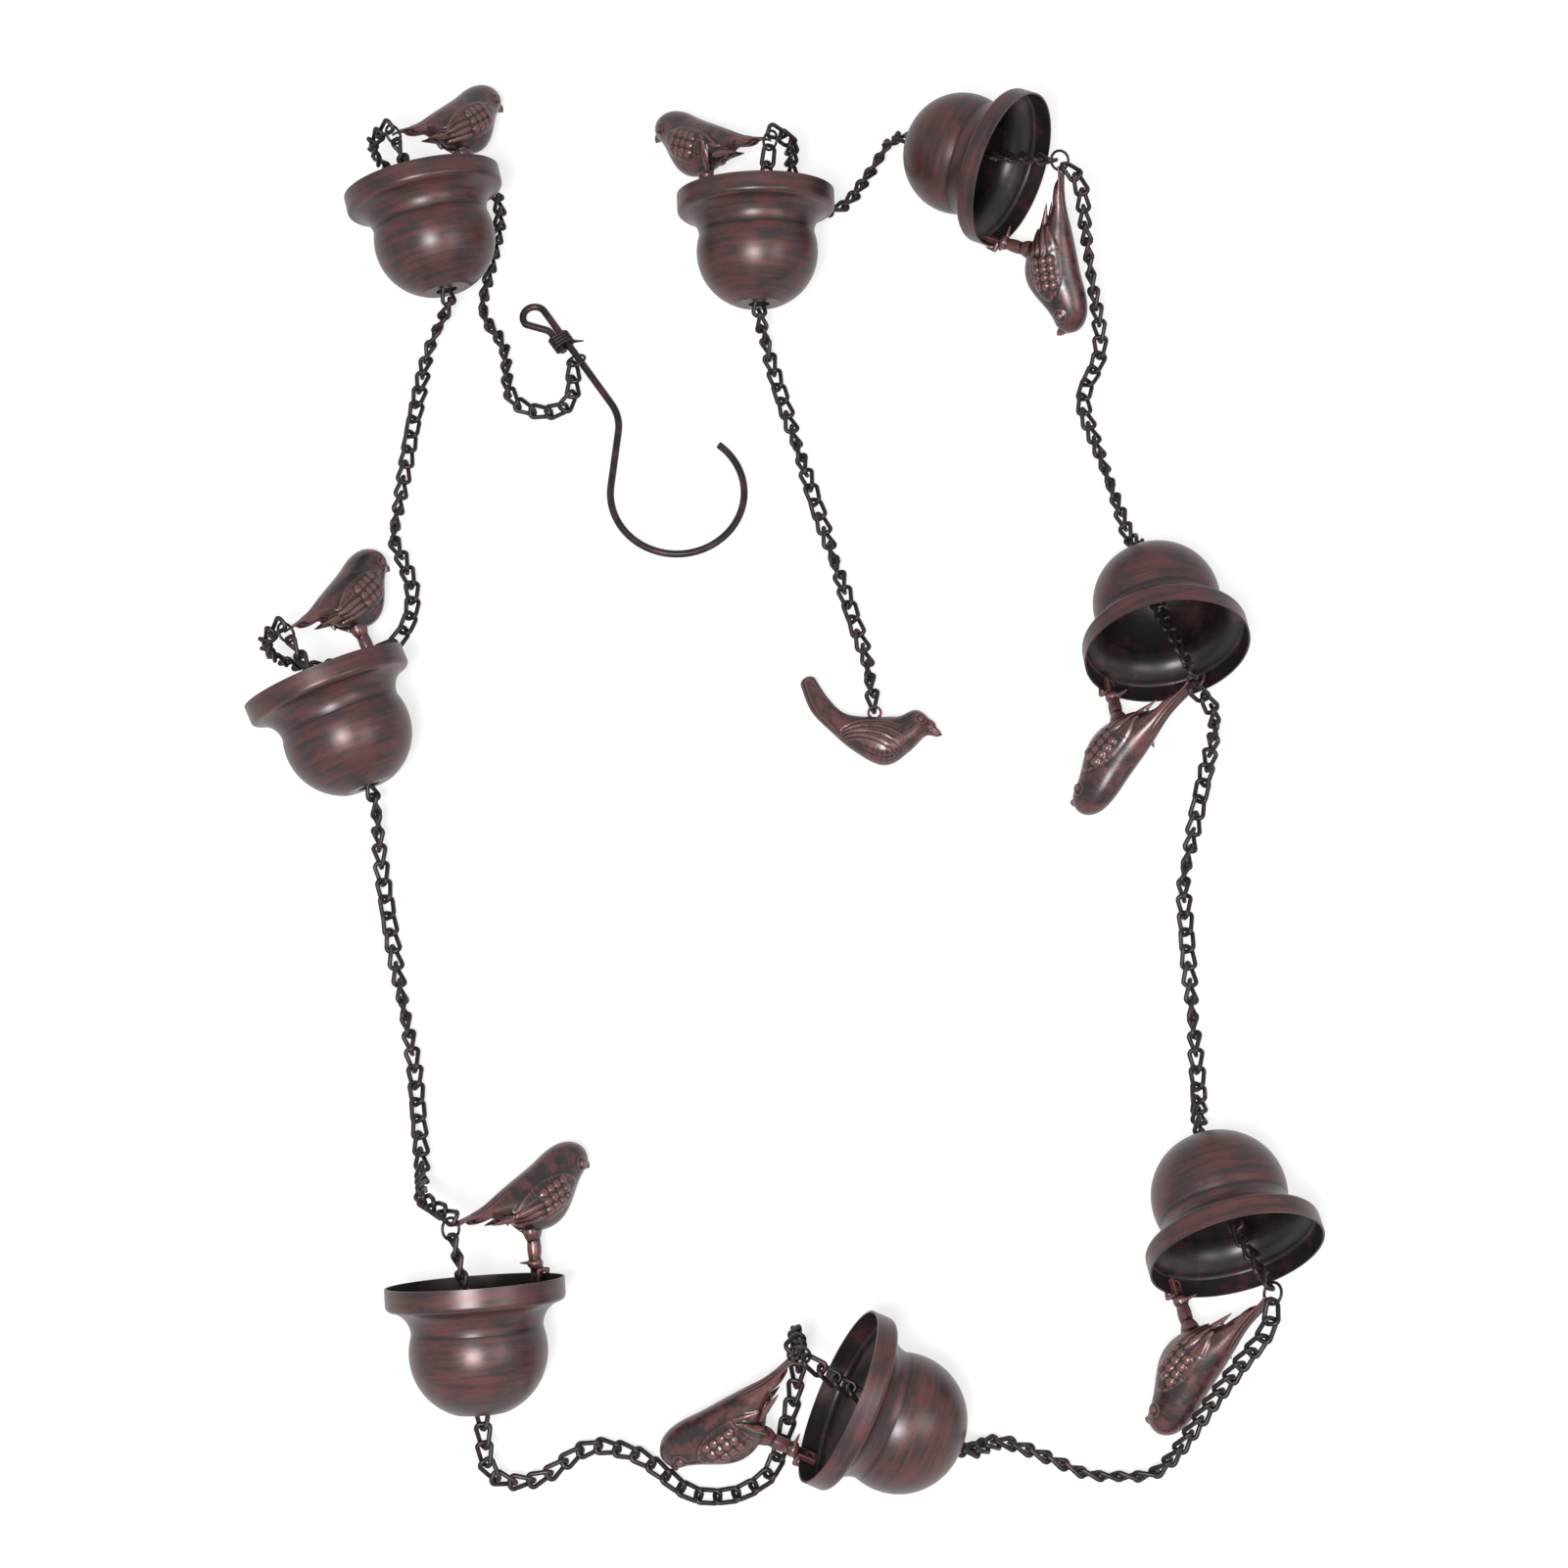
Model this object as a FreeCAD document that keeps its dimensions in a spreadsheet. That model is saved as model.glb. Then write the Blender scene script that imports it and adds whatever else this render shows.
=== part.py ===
import FreeCAD, Part
import math
import os
import Sketcher

# A rain chain laid out in a loop on the floor, in millimetres, +Z up.
# Eight spun cups hang on a twisted-link chain, each by a cast bird whose foot grips the cup's rim.
# A wire hook heads the chain and a small cast bird weighs down its tail.

Vector = FreeCAD.Vector
Rotation = FreeCAD.Rotation
Placement = FreeCAD.Placement
ORIGIN = Vector(0, 0, 0)
ACROSS = Vector(0, 1, 0)
UP = Vector(0, 0, 1)

doc = FreeCAD.newDocument("rain_chain")
sheet = doc.addObject("Spreadsheet::Sheet", "sizes")

SIZES = {
    # spun cup, radii from its axis and heights from its outer bottom
    "cup_height": 63.0,
    "cup_wall": 1.0,
    "rim_radius": 44.0,
    "band_low": 54.5,
    "lip_round": 3.0,
    "neck_radius": 12.0,
    "crease_radius": 32.3,
    "crease_height": 39.5,
    "belly_arc": 31.5,
    "bottom_radius": 13.0,
    "drain_radius": 6.0,
    # rivet that holds the bird's foot inside the rim
    "rivet_radius": 1.2,
    "rivet_drop": 4.2,
    "rivet_head_radius": 2.6,
    "rivet_head_height": 1.3,
    "rivet_length": 4.4,
    "rivet_clearance": 0.1,
    # perched bird: wing, beak, eye, leg and foot
    "wing_relief": 1.1,
    "wing_half_length": 21.0,
    "wing_half_depth": 9.5,
    "wing_lean": 24.0,
    "feather_length": 14.5,
    "feather_depth": 7.0,
    "feather_groove": 0.9,
    "beak_length": 8.5,
    "beak_droop": 42.0,
    "beak_tip_radius": 0.5,
    "eye_radius": 2.9,
    "eye_rim": 0.7,
    "leg_radius": 2.6,
    "ankle_radius": 1.9,
    "leg_length": 22.0,
    "foot_thickness": 3.2,
    "foot_half_width": 3.0,
    "foot_drop": 7.6,
    "foot_rise": 3.6,
    "foot_clearance": 0.12,
    "toe_radius": 1.3,
    "toe_spread": 3.4,
    "toe_reach": 3.2,
    "toe_hook": 6.0,
    "toe_clearance": 0.25,
    "claw_length": 11.0,
    "spur_length": 17.0,
    "spur_radius": 2.6,
    # wire ring at each tail and at the hook
    "ring_radius": 5.3,
    "ring_wire": 1.5,
    "ring_hole_radius": 1.3,
    "ring_setback": 2.4,
    # twisted chain link
    "link_wire": 2.0,
    "link_inside": 9.9,
    "link_half_width": 3.15,
    "link_half_twist": 36.0,
    "link_corner": 2.3,
    "link_play": 0.5,
    "link_lie": 4.45,
    # hook bent from one wire, in its own plane, x along the shank from the eye
    "hook_wire": 4.0,
    "hook_eye_radius": 6.6,
    "hook_shank": 79.0,
    "hook_bend_angle": 40.0,
    "hook_bend_radius": 26.0,
    "hook_lower": 43.0,
    "hook_bight_radius": 37.0,
    "hook_bight_sweep": 238.0,
    "hook_return": 27.5,
    "hook_return_gap": 0.25,
    "tie_wire": 2.2,
    "tie_turns": 4,
    "tie_place": 18.0,
    "tie_lap": 0.1,
    "tie_clearance": 0.15,
    "tie_end": 6.0,
    # pendant bird
    "pendant_relief": 1.6,
    "pendant_wing_length": 30.0,
    "pendant_feather_depth": 3.4,
    "pendant_beak_length": 8.0,
    "pendant_beak_droop": 30.0,
    "pendant_eye_radius": 3.4,
    "pendant_eye_wire": 1.7,
}

# Cross sections of the two birds, from tail to beak: place along and above, lean of the section's
# axis in degrees, half height and half width. The perched bird is measured from the rim's inner
# face at the mouth plane, the pendant bird from the middle of its breast.
STATION_FIELDS = ("along", "above", "lean", "half_height", "half_width")
PERCHED = {
    "tail_tip": (-53.5, 27.8, 14.0, 1.9, 4.4),
    "tail_mid": (-37.0, 32.2, 16.0, 2.4, 4.0),
    "rump": (-22.5, 34.4, 12.0, 7.0, 6.6),
    "flank": (-7.5, 34.8, 14.0, 13.6, 10.4),
    "breast": (9.5, 40.4, 21.0, 16.2, 11.4),
    "nape": (20.8, 51.0, 23.0, 12.0, 9.8),
    "crown": (29.0, 54.8, 12.0, 8.6, 8.0),
    "face": (33.6, 53.2, -8.0, 4.6, 4.4),
}
PENDANT = {
    "fan_tip": (-41.5, 33.5, -58.0, 4.6, 3.4),
    "fan_mid": (-35.4, 20.8, -50.0, 6.0, 4.2),
    "fan_root": (-25.8, 10.6, -34.0, 6.4, 5.6),
    "side": (-14.0, 4.2, -22.0, 10.0, 8.6),
    "chest": (0.0, 0.0, -6.0, 13.6, 10.6),
    "neck": (9.5, 3.9, 15.0, 10.2, 8.8),
    "poll": (17.2, 9.0, 8.0, 8.6, 7.8),
    "brow": (22.6, 7.8, -12.0, 4.6, 4.4),
}

# Where each cup lies: mouth centre on the floor plan, heading of its mouth in degrees,
# and the side its bird falls to, looking along the heading: 1 left, -1 right.
CUPS = [
    (-203, 342, 104, -1),
    (-242, 44, 114, -1),
    (-151, -275, 94, -1),
    (26, -330, 159, 1),
    (222, -262, -79, -1),
    (202, 58, -84, -1),
    (128, 350, -30, -1),
    (-16, 335, 92, 1),
]

# The chain's way between its ends. First plan points on the floor, then points beside the cup that
# it comes to: ahead of the mouth's middle, toward the bird's side, and a height where it is lifted.
# Last the count of half turns that the run is given.
ROUTES = [
    (
        [(-118, 218), (-154, 221), (-157, 262), (-172, 281)],
        [(-38, 28), (-14, 38), (3, 42), (16, 38), (21, 22), (21, 7), (24, -9, 12), (28, -21, 31), (29, -23, 51)],
        1,
    ),
    (
        [(-200, 262), (-207, 210), (-215, 140)],
        [(66, 65), (46, 64), (29, 56), (18, 42), (19, 26), (21, 7), (24, -9, 12), (28, -21, 31), (29, -22, 51)],
        4,
    ),
    ([(-213, -45), (-203, -98), (-190, -157)], [(62, -27, 14), (44, -26, 43)], 4),
    (
        [(-145, -367, 12), (-119, -366), (-96, -346), (-70, -353)],
        [(50, 66), (30, 57), (18, 42), (19, 26), (21, 7), (24, -9, 12), (28, -21, 31), (29, -22, 51)],
        2,
    ),
    (
        [(106, -345), (127, -353), (150, -363)],
        [(92, 58), (82, 45, 16), (66, 28, 31), (52, 12, 48), (40, -4, 61)],
        1,
    ),
    ([(213, -170), (211, -110), (210, -57)], [(66, -13, 6), (46, -19, 34), (36, -19, 49)], 5),
    (
        [(190, 140), (179, 181), (165, 228)],
        [(92, 58), (82, 45, 16), (66, 28, 31), (52, 12, 48), (40, -4, 61)],
        3,
    ),
    (
        [(60, 388, 15), (52, 377), (42, 361)],
        [(16, -54), (10, -41), (14, -28), (21, -21, 16), (28, -21, 34), (29, -22, 51)],
        1,
    ),
    ([(-9, 256), (8, 196), (29, 124), (45, 68, 8)], [], 5),
]
HOOK_PLACE = (-141, 279, -56)
PENDANT_PLACE = (54.5, 20.5, 0)


def write_sheet():
    """Give every driving dimension a cell of its own, found by its alias."""
    rows = dict(SIZES)
    for stations in (PERCHED, PENDANT):
        for station, values in stations.items():
            for field, value in zip(STATION_FIELDS, values):
                rows[station + "_" + field] = value
    for row, (alias, value) in enumerate(rows.items(), start=1):
        sheet.set("A%d" % row, alias)
        sheet.set("B%d" % row, str(value))
        sheet.setAlias("B%d" % row, alias)
    doc.recompute()


def size(alias):
    return float(sheet.get(alias))


def add(kind, name, place=None, **expressions):
    """A document object whose properties are bound to the sheet."""
    thing = doc.addObject(kind, name)
    for prop, expression in expressions.items():
        thing.setExpression(prop, expression)
    if place is not None:
        thing.Placement = place
    return thing


def feature(name, shape):
    thing = doc.addObject("Part::Feature", name)
    thing.Shape = shape
    return thing


def fused(name, things):
    whole = doc.addObject("Part::MultiFuse", name)
    whole.Shapes = things
    return whole


def cut(name, base, tool):
    whole = doc.addObject("Part::Cut", name)
    whole.Base = base
    whole.Tool = tool
    return whole


def aim(point, direction):
    """A placement at a point, its own Z turned to a direction."""
    return Placement(point, Rotation(UP, direction))


def plane_of(body, role):
    return [item for item in body.Origin.OriginFeatures if item.Role == role][0]


def sketch_on(body, name, role):
    sketch = body.newObject("Sketcher::SketchObject", name)
    sketch.AttachmentSupport = [(plane_of(body, role), "")]
    sketch.MapMode = "FlatFace"
    return sketch


def bound(sketch, alias, kind, *where):
    number = sketch.addConstraint(Sketcher.Constraint(kind, *where, size(alias)))
    sketch.setExpression("Constraints[%d]" % number, "sizes." + alias)


def arc_centre(start, end, radius):
    """Centre of the arc from start to end that bulges to the right of that way."""
    chord = end - start
    rise = math.sqrt(radius**2 - chord.Length**2 / 4)
    left = Vector(-chord.y, chord.x, 0).normalize()
    return (start + end) * 0.5 + left * rise


def arc_about(centre, start, end):
    first = math.atan2(start.y - centre.y, start.x - centre.x)
    last = math.atan2(end.y - centre.y, end.x - centre.x)
    return Part.ArcOfCircle(Part.Circle(centre, UP, (start - centre).Length), first, last)


def belly_centre():
    start = Vector(size("bottom_radius"), 0, 0)
    end = Vector(size("crease_radius"), size("crease_height"), 0)
    return arc_centre(start, end, size("belly_arc"))


def make_cup():
    """A spun cup: a revolved bell with a thin wall, a drain hole and a rivet hole in its rim band."""
    body = doc.addObject("PartDesign::Body", "cup")
    profile = sketch_on(body, "cup_profile", "XZ_Plane")
    height = size("cup_height")
    base = Vector(size("bottom_radius"), 0, 0)
    crease = Vector(size("crease_radius"), size("crease_height"), 0)
    band = Vector(size("rim_radius"), size("band_low"), 0)
    rim = Vector(size("rim_radius"), height, 0)
    top = Vector(0, height, 0)
    lip_round = size("lip_round")
    neck_radius = size("neck_radius")
    lip_centre = Vector(band.x - lip_round, band.y, 0)
    span = lip_centre - crease
    part_way = (span.Length**2 + neck_radius**2 - (neck_radius + lip_round) ** 2) / (2 * span.Length)
    aside = math.sqrt(neck_radius**2 - part_way**2)
    toward = Vector(span).normalize()
    neck_centre = crease + toward * part_way + Vector(toward.y, -toward.x, 0) * aside
    flare = lip_centre + (neck_centre - lip_centre).normalize() * lip_round
    profile.addGeometry(
        [
            Part.LineSegment(ORIGIN, base),
            arc_about(belly_centre(), base, crease),
            arc_about(neck_centre, flare, crease),
            arc_about(lip_centre, flare, band),
            Part.LineSegment(band, rim),
            Part.LineSegment(rim, top),
            Part.LineSegment(top, ORIGIN),
        ],
        False,
    )
    joints = [
        ("Coincident", 0, 1, -1, 1),
        ("Coincident", 0, 2, 1, 1),
        ("Coincident", 1, 2, 2, 2),
        ("Tangent", 2, 1, 3, 1),
        ("Tangent", 3, 2, 4, 1),
        ("Coincident", 4, 2, 5, 1),
        ("Coincident", 5, 2, 6, 1),
        ("Coincident", 6, 2, 0, 1),
        ("Horizontal", 0),
        ("Vertical", 4),
        ("Horizontal", 5),
        ("Vertical", 6),
    ]
    profile.addConstraint([Sketcher.Constraint(*joint) for joint in joints])
    bound(profile, "bottom_radius", "DistanceX", -1, 1, 0, 2)
    bound(profile, "crease_radius", "DistanceX", -1, 1, 1, 2)
    bound(profile, "crease_height", "DistanceY", -1, 1, 1, 2)
    bound(profile, "belly_arc", "Radius", 1)
    bound(profile, "neck_radius", "Radius", 2)
    bound(profile, "lip_round", "Radius", 3)
    bound(profile, "rim_radius", "DistanceX", -1, 1, 4, 1)
    bound(profile, "band_low", "DistanceY", -1, 1, 4, 1)
    bound(profile, "cup_height", "DistanceY", -1, 1, 4, 2)
    spun = body.newObject("PartDesign::Revolution", "cup_spun")
    spun.Profile = profile
    spun.ReferenceAxis = (profile, ["V_Axis"])
    doc.recompute()
    mouth = max(range(len(spun.Shape.Faces)), key=lambda face: spun.Shape.Faces[face].CenterOfMass.z)
    shell = body.newObject("PartDesign::Thickness", "cup_shell")
    shell.Base = (spun, ["Face%d" % (mouth + 1)])
    shell.setExpression("Value", "sizes.cup_wall")
    shell.Join = 1
    shell.Reversed = True
    drain = sketch_on(body, "drain_sketch", "XY_Plane")
    drain.addGeometry(Part.Circle(ORIGIN, UP, size("drain_radius")), False)
    drain.addConstraint(Sketcher.Constraint("Coincident", 0, 3, -1, 1))
    bound(drain, "drain_radius", "Radius", 0)
    drain_hole = body.newObject("PartDesign::Pocket", "drain_hole")
    drain_hole.Profile = drain
    drain_hole.setExpression("Length", "2 * sizes.cup_wall")
    drain_hole.Reversed = True
    rivet = sketch_on(body, "rivet_sketch", "YZ_Plane")
    rivet_height = height - size("rivet_drop")
    rivet.addGeometry(Part.Circle(Vector(0, rivet_height, 0), UP, size("rivet_radius")), False)
    rivet.addConstraint(Sketcher.Constraint("PointOnObject", 0, 3, -2))
    number = rivet.addConstraint(Sketcher.Constraint("DistanceY", -1, 1, 0, 3, rivet_height))
    rivet.setExpression("Constraints[%d]" % number, "sizes.cup_height - sizes.rivet_drop")
    number = rivet.addConstraint(Sketcher.Constraint("Radius", 0, size("rivet_radius")))
    rivet.setExpression("Constraints[%d]" % number, "sizes.rivet_radius + sizes.rivet_clearance")
    rivet_hole = body.newObject("PartDesign::Pocket", "rivet_hole")
    rivet_hole.Profile = rivet
    rivet_hole.setExpression("Length", "2 * sizes.rim_radius")
    rivet_hole.Reversed = True
    doc.recompute()
    return body


def section(name, station, origin, relief):
    """One oval cross section of a bird, its seam on the back so that a loft doesn't twist.
    A relief widens it and lowers it by as much, so that the two skins cross each other cleanly."""
    along, above, lean, half_height, half_width = [size(station + "_" + field) for field in STATION_FIELDS]
    half_width += relief
    half_height -= relief
    corners = 12
    points = []
    for corner in range(corners):
        turn = 2 * math.pi * corner / corners
        points.append(Vector(0, half_width * math.sin(turn), half_height * math.cos(turn)))
    oval = Part.BSplineCurve()
    oval.interpolate(Points=points, PeriodicFlag=True)
    outline = feature(name, Part.Wire([oval.toShape()]))
    outline.Placement = Placement(origin + Vector(along, 0, above), Rotation(ACROSS, -lean))
    return outline


def loft(name, stations, origin, relief=0.0):
    skin = doc.addObject("Part::Loft", name)
    skin.Sections = [section(name + "_" + station, station, origin, relief) for station in stations]
    skin.Solid = True
    return skin


def wing(name, coat, centre, lean, half_length, half_depth, spacing, groove):
    """A raised wing on both flanks: the wider coat within an oval, parted into feathers by grooves."""
    oval = add("Part::Ellipse", name + "_outline", MajorRadius=half_length, MinorRadius=half_depth)
    turn = Rotation(ACROSS, -lean)
    oval.Placement = Placement(centre, turn * Rotation(Vector(1, 0, 0), 90))
    prism = doc.addObject("Part::Extrusion", name + "_prism")
    prism.Base = oval
    prism.DirMode = "Custom"
    prism.Dir = ACROSS
    prism.LengthFwd = 60.0
    prism.Symmetric = True
    prism.Solid = True
    doc.recompute()
    pad = doc.addObject("Part::Common", name + "_pad")
    pad.Base = coat
    pad.Tool = prism
    slots = []
    reach = 2 * oval.MajorRadius.Value
    for direction, (pitch, across) in enumerate(spacing):
        count = int(2 * across / pitch)
        for row in range(count):
            slot = doc.addObject("Part::Box", "%s_groove_%d_%d" % (name, direction, row))
            offset = (row - (count - 1) / 2) * pitch - groove / 2
            lengths = (reach, reach, groove) if direction == 0 else (groove, reach, reach)
            slot.Length, slot.Width, slot.Height = lengths
            corner = Vector(-reach / 2, -reach / 2, offset)
            if direction == 1:
                corner = Vector(offset, -reach / 2, -reach / 2)
            slot.Placement = Placement(centre + turn.multVec(corner), turn)
            slots.append(slot)
    return cut(name + "_feathered", pad, fused(name + "_grooves", slots))


def perch_point():
    """The rim's inner face at the mouth plane, on the bird's side of the cup."""
    return Vector(size("rim_radius") - size("cup_wall"), 0, size("cup_height"))


def beside_perch(along, above, across=0.0):
    return perch_point() + Vector(along, across, above)


def tail_frame():
    """The tail's outward direction and the place of its ring hole."""
    lean = math.radians(size("tail_tip_lean"))
    outward = Vector(-math.cos(lean), 0, -math.sin(lean))
    tip = beside_perch(size("tail_tip_along"), size("tail_tip_above"))
    return outward, tip - outward * size("ring_setback")


def make_perched_bird():
    """A cast bird: lofted body with raised feathered wings, beak, eyes, leg and a foot for the rim."""
    perch = perch_point()
    body = loft("bird_body", PERCHED, perch)
    coat = loft("bird_coat", PERCHED, perch, size("wing_relief"))
    wing_centre = beside_perch(size("flank_along") + 6.5, size("flank_above") + 1.2)
    spacing = (
        (size("feather_depth"), size("wing_half_depth")),
        (size("feather_length"), size("wing_half_length")),
    )
    wings = wing(
        "bird_wing",
        coat,
        wing_centre,
        size("wing_lean"),
        "sizes.wing_half_length",
        "sizes.wing_half_depth",
        spacing,
        size("feather_groove"),
    )
    pieces = [body, wings]
    face = beside_perch(size("face_along"), size("face_above"))
    droop = math.radians(size("beak_droop"))
    pieces.append(
        add(
            "Part::Cone",
            "bird_beak",
            aim(face - Vector(1.5, 0, -1.0), Vector(math.cos(droop), 0, -math.sin(droop))),
            Radius1="sizes.face_half_width * 0.9",
            Radius2="sizes.beak_tip_radius",
            Height="sizes.beak_length",
        )
    )
    foot_face = math.sqrt(perch.x**2 - size("foot_half_width") ** 2) - size("foot_clearance")
    toe_height = size("toe_radius") + size("toe_clearance")
    ankle = Vector(foot_face - size("foot_thickness") / 2, 0, perch.z + size("foot_rise"))
    hip = ankle + Vector(-1.5, 0, size("leg_length"))
    pieces.append(
        add(
            "Part::Cone",
            "bird_leg",
            aim(ankle - Vector(0, 0, 1.5), hip - ankle),
            Radius1="sizes.ankle_radius",
            Radius2="sizes.leg_radius",
            Height="sizes.leg_length",
        )
    )
    pieces.append(
        add(
            "Part::Box",
            "bird_foot",
            Placement(
                Vector(
                    foot_face - size("foot_thickness"), -size("foot_half_width"), perch.z - size("foot_drop")
                ),
                Rotation(),
            ),
            Length="sizes.foot_thickness",
            Width="2 * sizes.foot_half_width",
            Height="sizes.foot_drop + sizes.foot_rise",
        )
    )
    pieces.append(
        add(
            "Part::Cone",
            "bird_claw",
            aim(ankle + Vector(0, 0, 1.5), Vector(-1, 0, 0.1)),
            Radius1="sizes.toe_radius * 1.2",
            Radius2="sizes.beak_tip_radius",
            Height="sizes.claw_length",
        )
    )
    toe_start = Vector(foot_face - size("foot_thickness") / 2, 0, perch.z + toe_height)
    toe_end = Vector(size("rim_radius") + size("toe_clearance") + size("toe_radius"), 0, toe_start.z)
    for side in (-1, 1):
        shift = Vector(0, side * size("toe_spread"), 0)
        start = toe_start + shift * 0.6
        end = toe_end + shift
        toe = add("Part::Cylinder", "bird_toe_%d" % (side + 1), aim(start, end - start), Radius="sizes.toe_radius")
        toe.Height = (end - start).Length
        knuckle = add("Part::Sphere", "bird_knuckle_%d" % (side + 1), Placement(end, Rotation()))
        knuckle.setExpression("Radius", "sizes.toe_radius")
        hook = add(
            "Part::Cone",
            "bird_toe_hook_%d" % (side + 1),
            aim(end, Vector(0, 0, -1)),
            Radius1="sizes.toe_radius",
            Radius2="sizes.beak_tip_radius",
            Height="sizes.toe_hook",
        )
        pieces += [toe, knuckle, hook]
    spur_root = wing_centre - Vector(14.5, 0, 7.0)
    for side in (-1, 1):
        pieces.append(
            add(
                "Part::Cone",
                "bird_spur_%d" % (side + 1),
                aim(spur_root + Vector(0, side * 4.5, 0), Vector(-1, -side * 0.1, -0.16)),
                Radius1="sizes.spur_radius",
                Radius2="sizes.beak_tip_radius",
                Height="sizes.spur_length",
            )
        )
    eye = beside_perch(size("nape_along") + 4.2, size("nape_above") + 1.0)
    eye_span = size("nape_half_width") + size("eye_rim")
    eyes = add("Part::Cylinder", "bird_eyes", aim(eye - ACROSS * eye_span, ACROSS), Radius="sizes.eye_radius")
    eyes.Height = 2 * eye_span
    pieces.append(eyes)
    outward, hole = tail_frame()
    thick = Vector(-outward.z, 0, outward.x)
    ring_hole = add("Part::Cylinder", "tail_hole", aim(hole - thick * 10, thick), Radius="sizes.ring_hole_radius")
    ring_hole.Height = 20.0
    rivet_hole = add(
        "Part::Cylinder",
        "foot_hole",
        aim(Vector(0, 0, perch.z - size("rivet_drop")), Vector(1, 0, 0)),
        Radius="sizes.rivet_radius + sizes.rivet_clearance",
        Height="sizes.rim_radius",
    )
    return cut("perched_bird", fused("bird_casting", pieces), fused("bird_holes", [ring_hole, rivet_hole]))


def make_rivet():
    """A round-headed rivet, from outside the rim band into the bird's foot."""
    outside = Vector(size("rim_radius") + 0.05, 0, size("cup_height") - size("rivet_drop"))
    shank = add(
        "Part::Cylinder",
        "rivet_shank",
        aim(outside, Vector(-1, 0, 0)),
        Radius="sizes.rivet_radius",
        Height="sizes.rivet_length",
    )
    head = add(
        "Part::Cone",
        "rivet_head",
        aim(outside, Vector(1, 0, 0)),
        Radius1="sizes.rivet_head_radius",
        Radius2="sizes.rivet_head_radius * 0.55",
        Height="sizes.rivet_head_height",
    )
    return fused("rivet", [shank, head])


def make_ring(name, wire):
    return add("Part::Torus", name, Radius1="sizes.ring_radius", Radius2=wire)


def rounded_path(points, radius):
    """Straight runs joined by tangent arcs, as one wire."""
    edges = []
    last = points[0]
    for corner in range(1, len(points) - 1):
        before = points[corner - 1] - points[corner]
        after = points[corner + 1] - points[corner]
        turn = math.pi - before.getAngle(after)
        if turn < 0.001:
            continue
        room = 0.45 * min(before.Length, after.Length) / math.tan(turn / 2)
        bend = min(radius, room)
        set_back = bend * math.tan(turn / 2)
        start = points[corner] + before.normalize() * set_back
        end = points[corner] + after.normalize() * set_back
        inward = (before + after).normalize()
        middle = points[corner] + inward * (bend / math.cos(turn / 2) - bend)
        edges.append(Part.LineSegment(last, start).toShape())
        edges.append(Part.Arc(start, middle, end).toShape())
        last = end
    edges.append(Part.LineSegment(last, points[-1]).toShape())
    return Part.Wire(edges)


def swept(name, path, wire):
    """A round wire along a path of straight runs and arcs."""
    spine = feature(name + "_path", path)
    first = path.OrderedEdges[0]
    start = first.valueAt(first.FirstParameter)
    way = first.tangentAt(first.FirstParameter)
    circle = add("Part::Circle", name + "_section", aim(start, way), Radius=wire + " / 2")
    sweep = doc.addObject("Part::Sweep", name)
    sweep.Sections = [circle]
    sweep.Spine = (spine, ["Edge%d" % (edge + 1) for edge in range(len(path.Edges))])
    sweep.Solid = True
    return sweep


def link_reach():
    """Half the distance between the middles of a link's two end bars."""
    return (size("link_inside") + size("link_wire")) / 2


def make_link():
    """A chain link: a long ring given a part turn, so that the chain's links lie in one plane."""
    twist = math.radians(size("link_half_twist"))
    reach = link_reach()
    wide = size("link_half_width")
    high = wide * math.tan(twist)
    bows = []
    for name, end in (("link_head", reach), ("link_tail", -reach)):
        rise = math.copysign(high, end)
        bow = [Vector(0, -wide, 0), Vector(end, -wide, -rise), Vector(end, wide, rise), Vector(0, wide, 0)]
        bows.append(swept(name, rounded_path(bow, size("link_corner")), "sizes.link_wire"))
    return fused("link", bows)


def make_hook():
    """A wire hook: a closed eye, a straight shank, a bend and a round bight, in the plane z = 0."""
    eye = size("hook_eye_radius")
    wire = size("hook_wire")
    beside = eye - wire - size("hook_return_gap")
    shank_end = Vector(size("hook_shank"), eye, 0)
    angle = math.radians(-size("hook_bend_angle"))
    lower = shank_end + Vector(math.cos(angle), math.sin(angle), 0) * size("hook_lower")
    bight = size("hook_bight_radius")
    bight_centre = lower + Vector(-math.sin(angle), math.cos(angle), 0) * bight
    entry = lower - bight_centre
    sweep = math.radians(size("hook_bight_sweep"))

    def on_bight(turn):
        return bight_centre + Rotation(UP, math.degrees(turn)).multVec(entry)

    eye_edge = Vector(-eye, 0, 0)
    eye_top = Vector(0, eye, 0)
    leave = Vector(0, -eye, 0)
    tail = [leave, Vector(size("tie_place") - 6.0, beside, 0), Vector(size("hook_return"), beside, 0)]
    turn_in = rounded_path([tail[2], tail[1], Vector(1.0, -eye, 0), leave], 6.0)
    shank = rounded_path([eye_top, shank_end, lower], size("hook_bend_radius"))
    edges = turn_in.Edges
    edges.append(Part.Arc(leave, eye_edge, eye_top).toShape())
    edges += shank.Edges
    edges.append(Part.Arc(lower, on_bight(sweep / 2), on_bight(sweep)).toShape())
    return swept("hook", Part.Wire(edges), "sizes.hook_wire")


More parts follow.
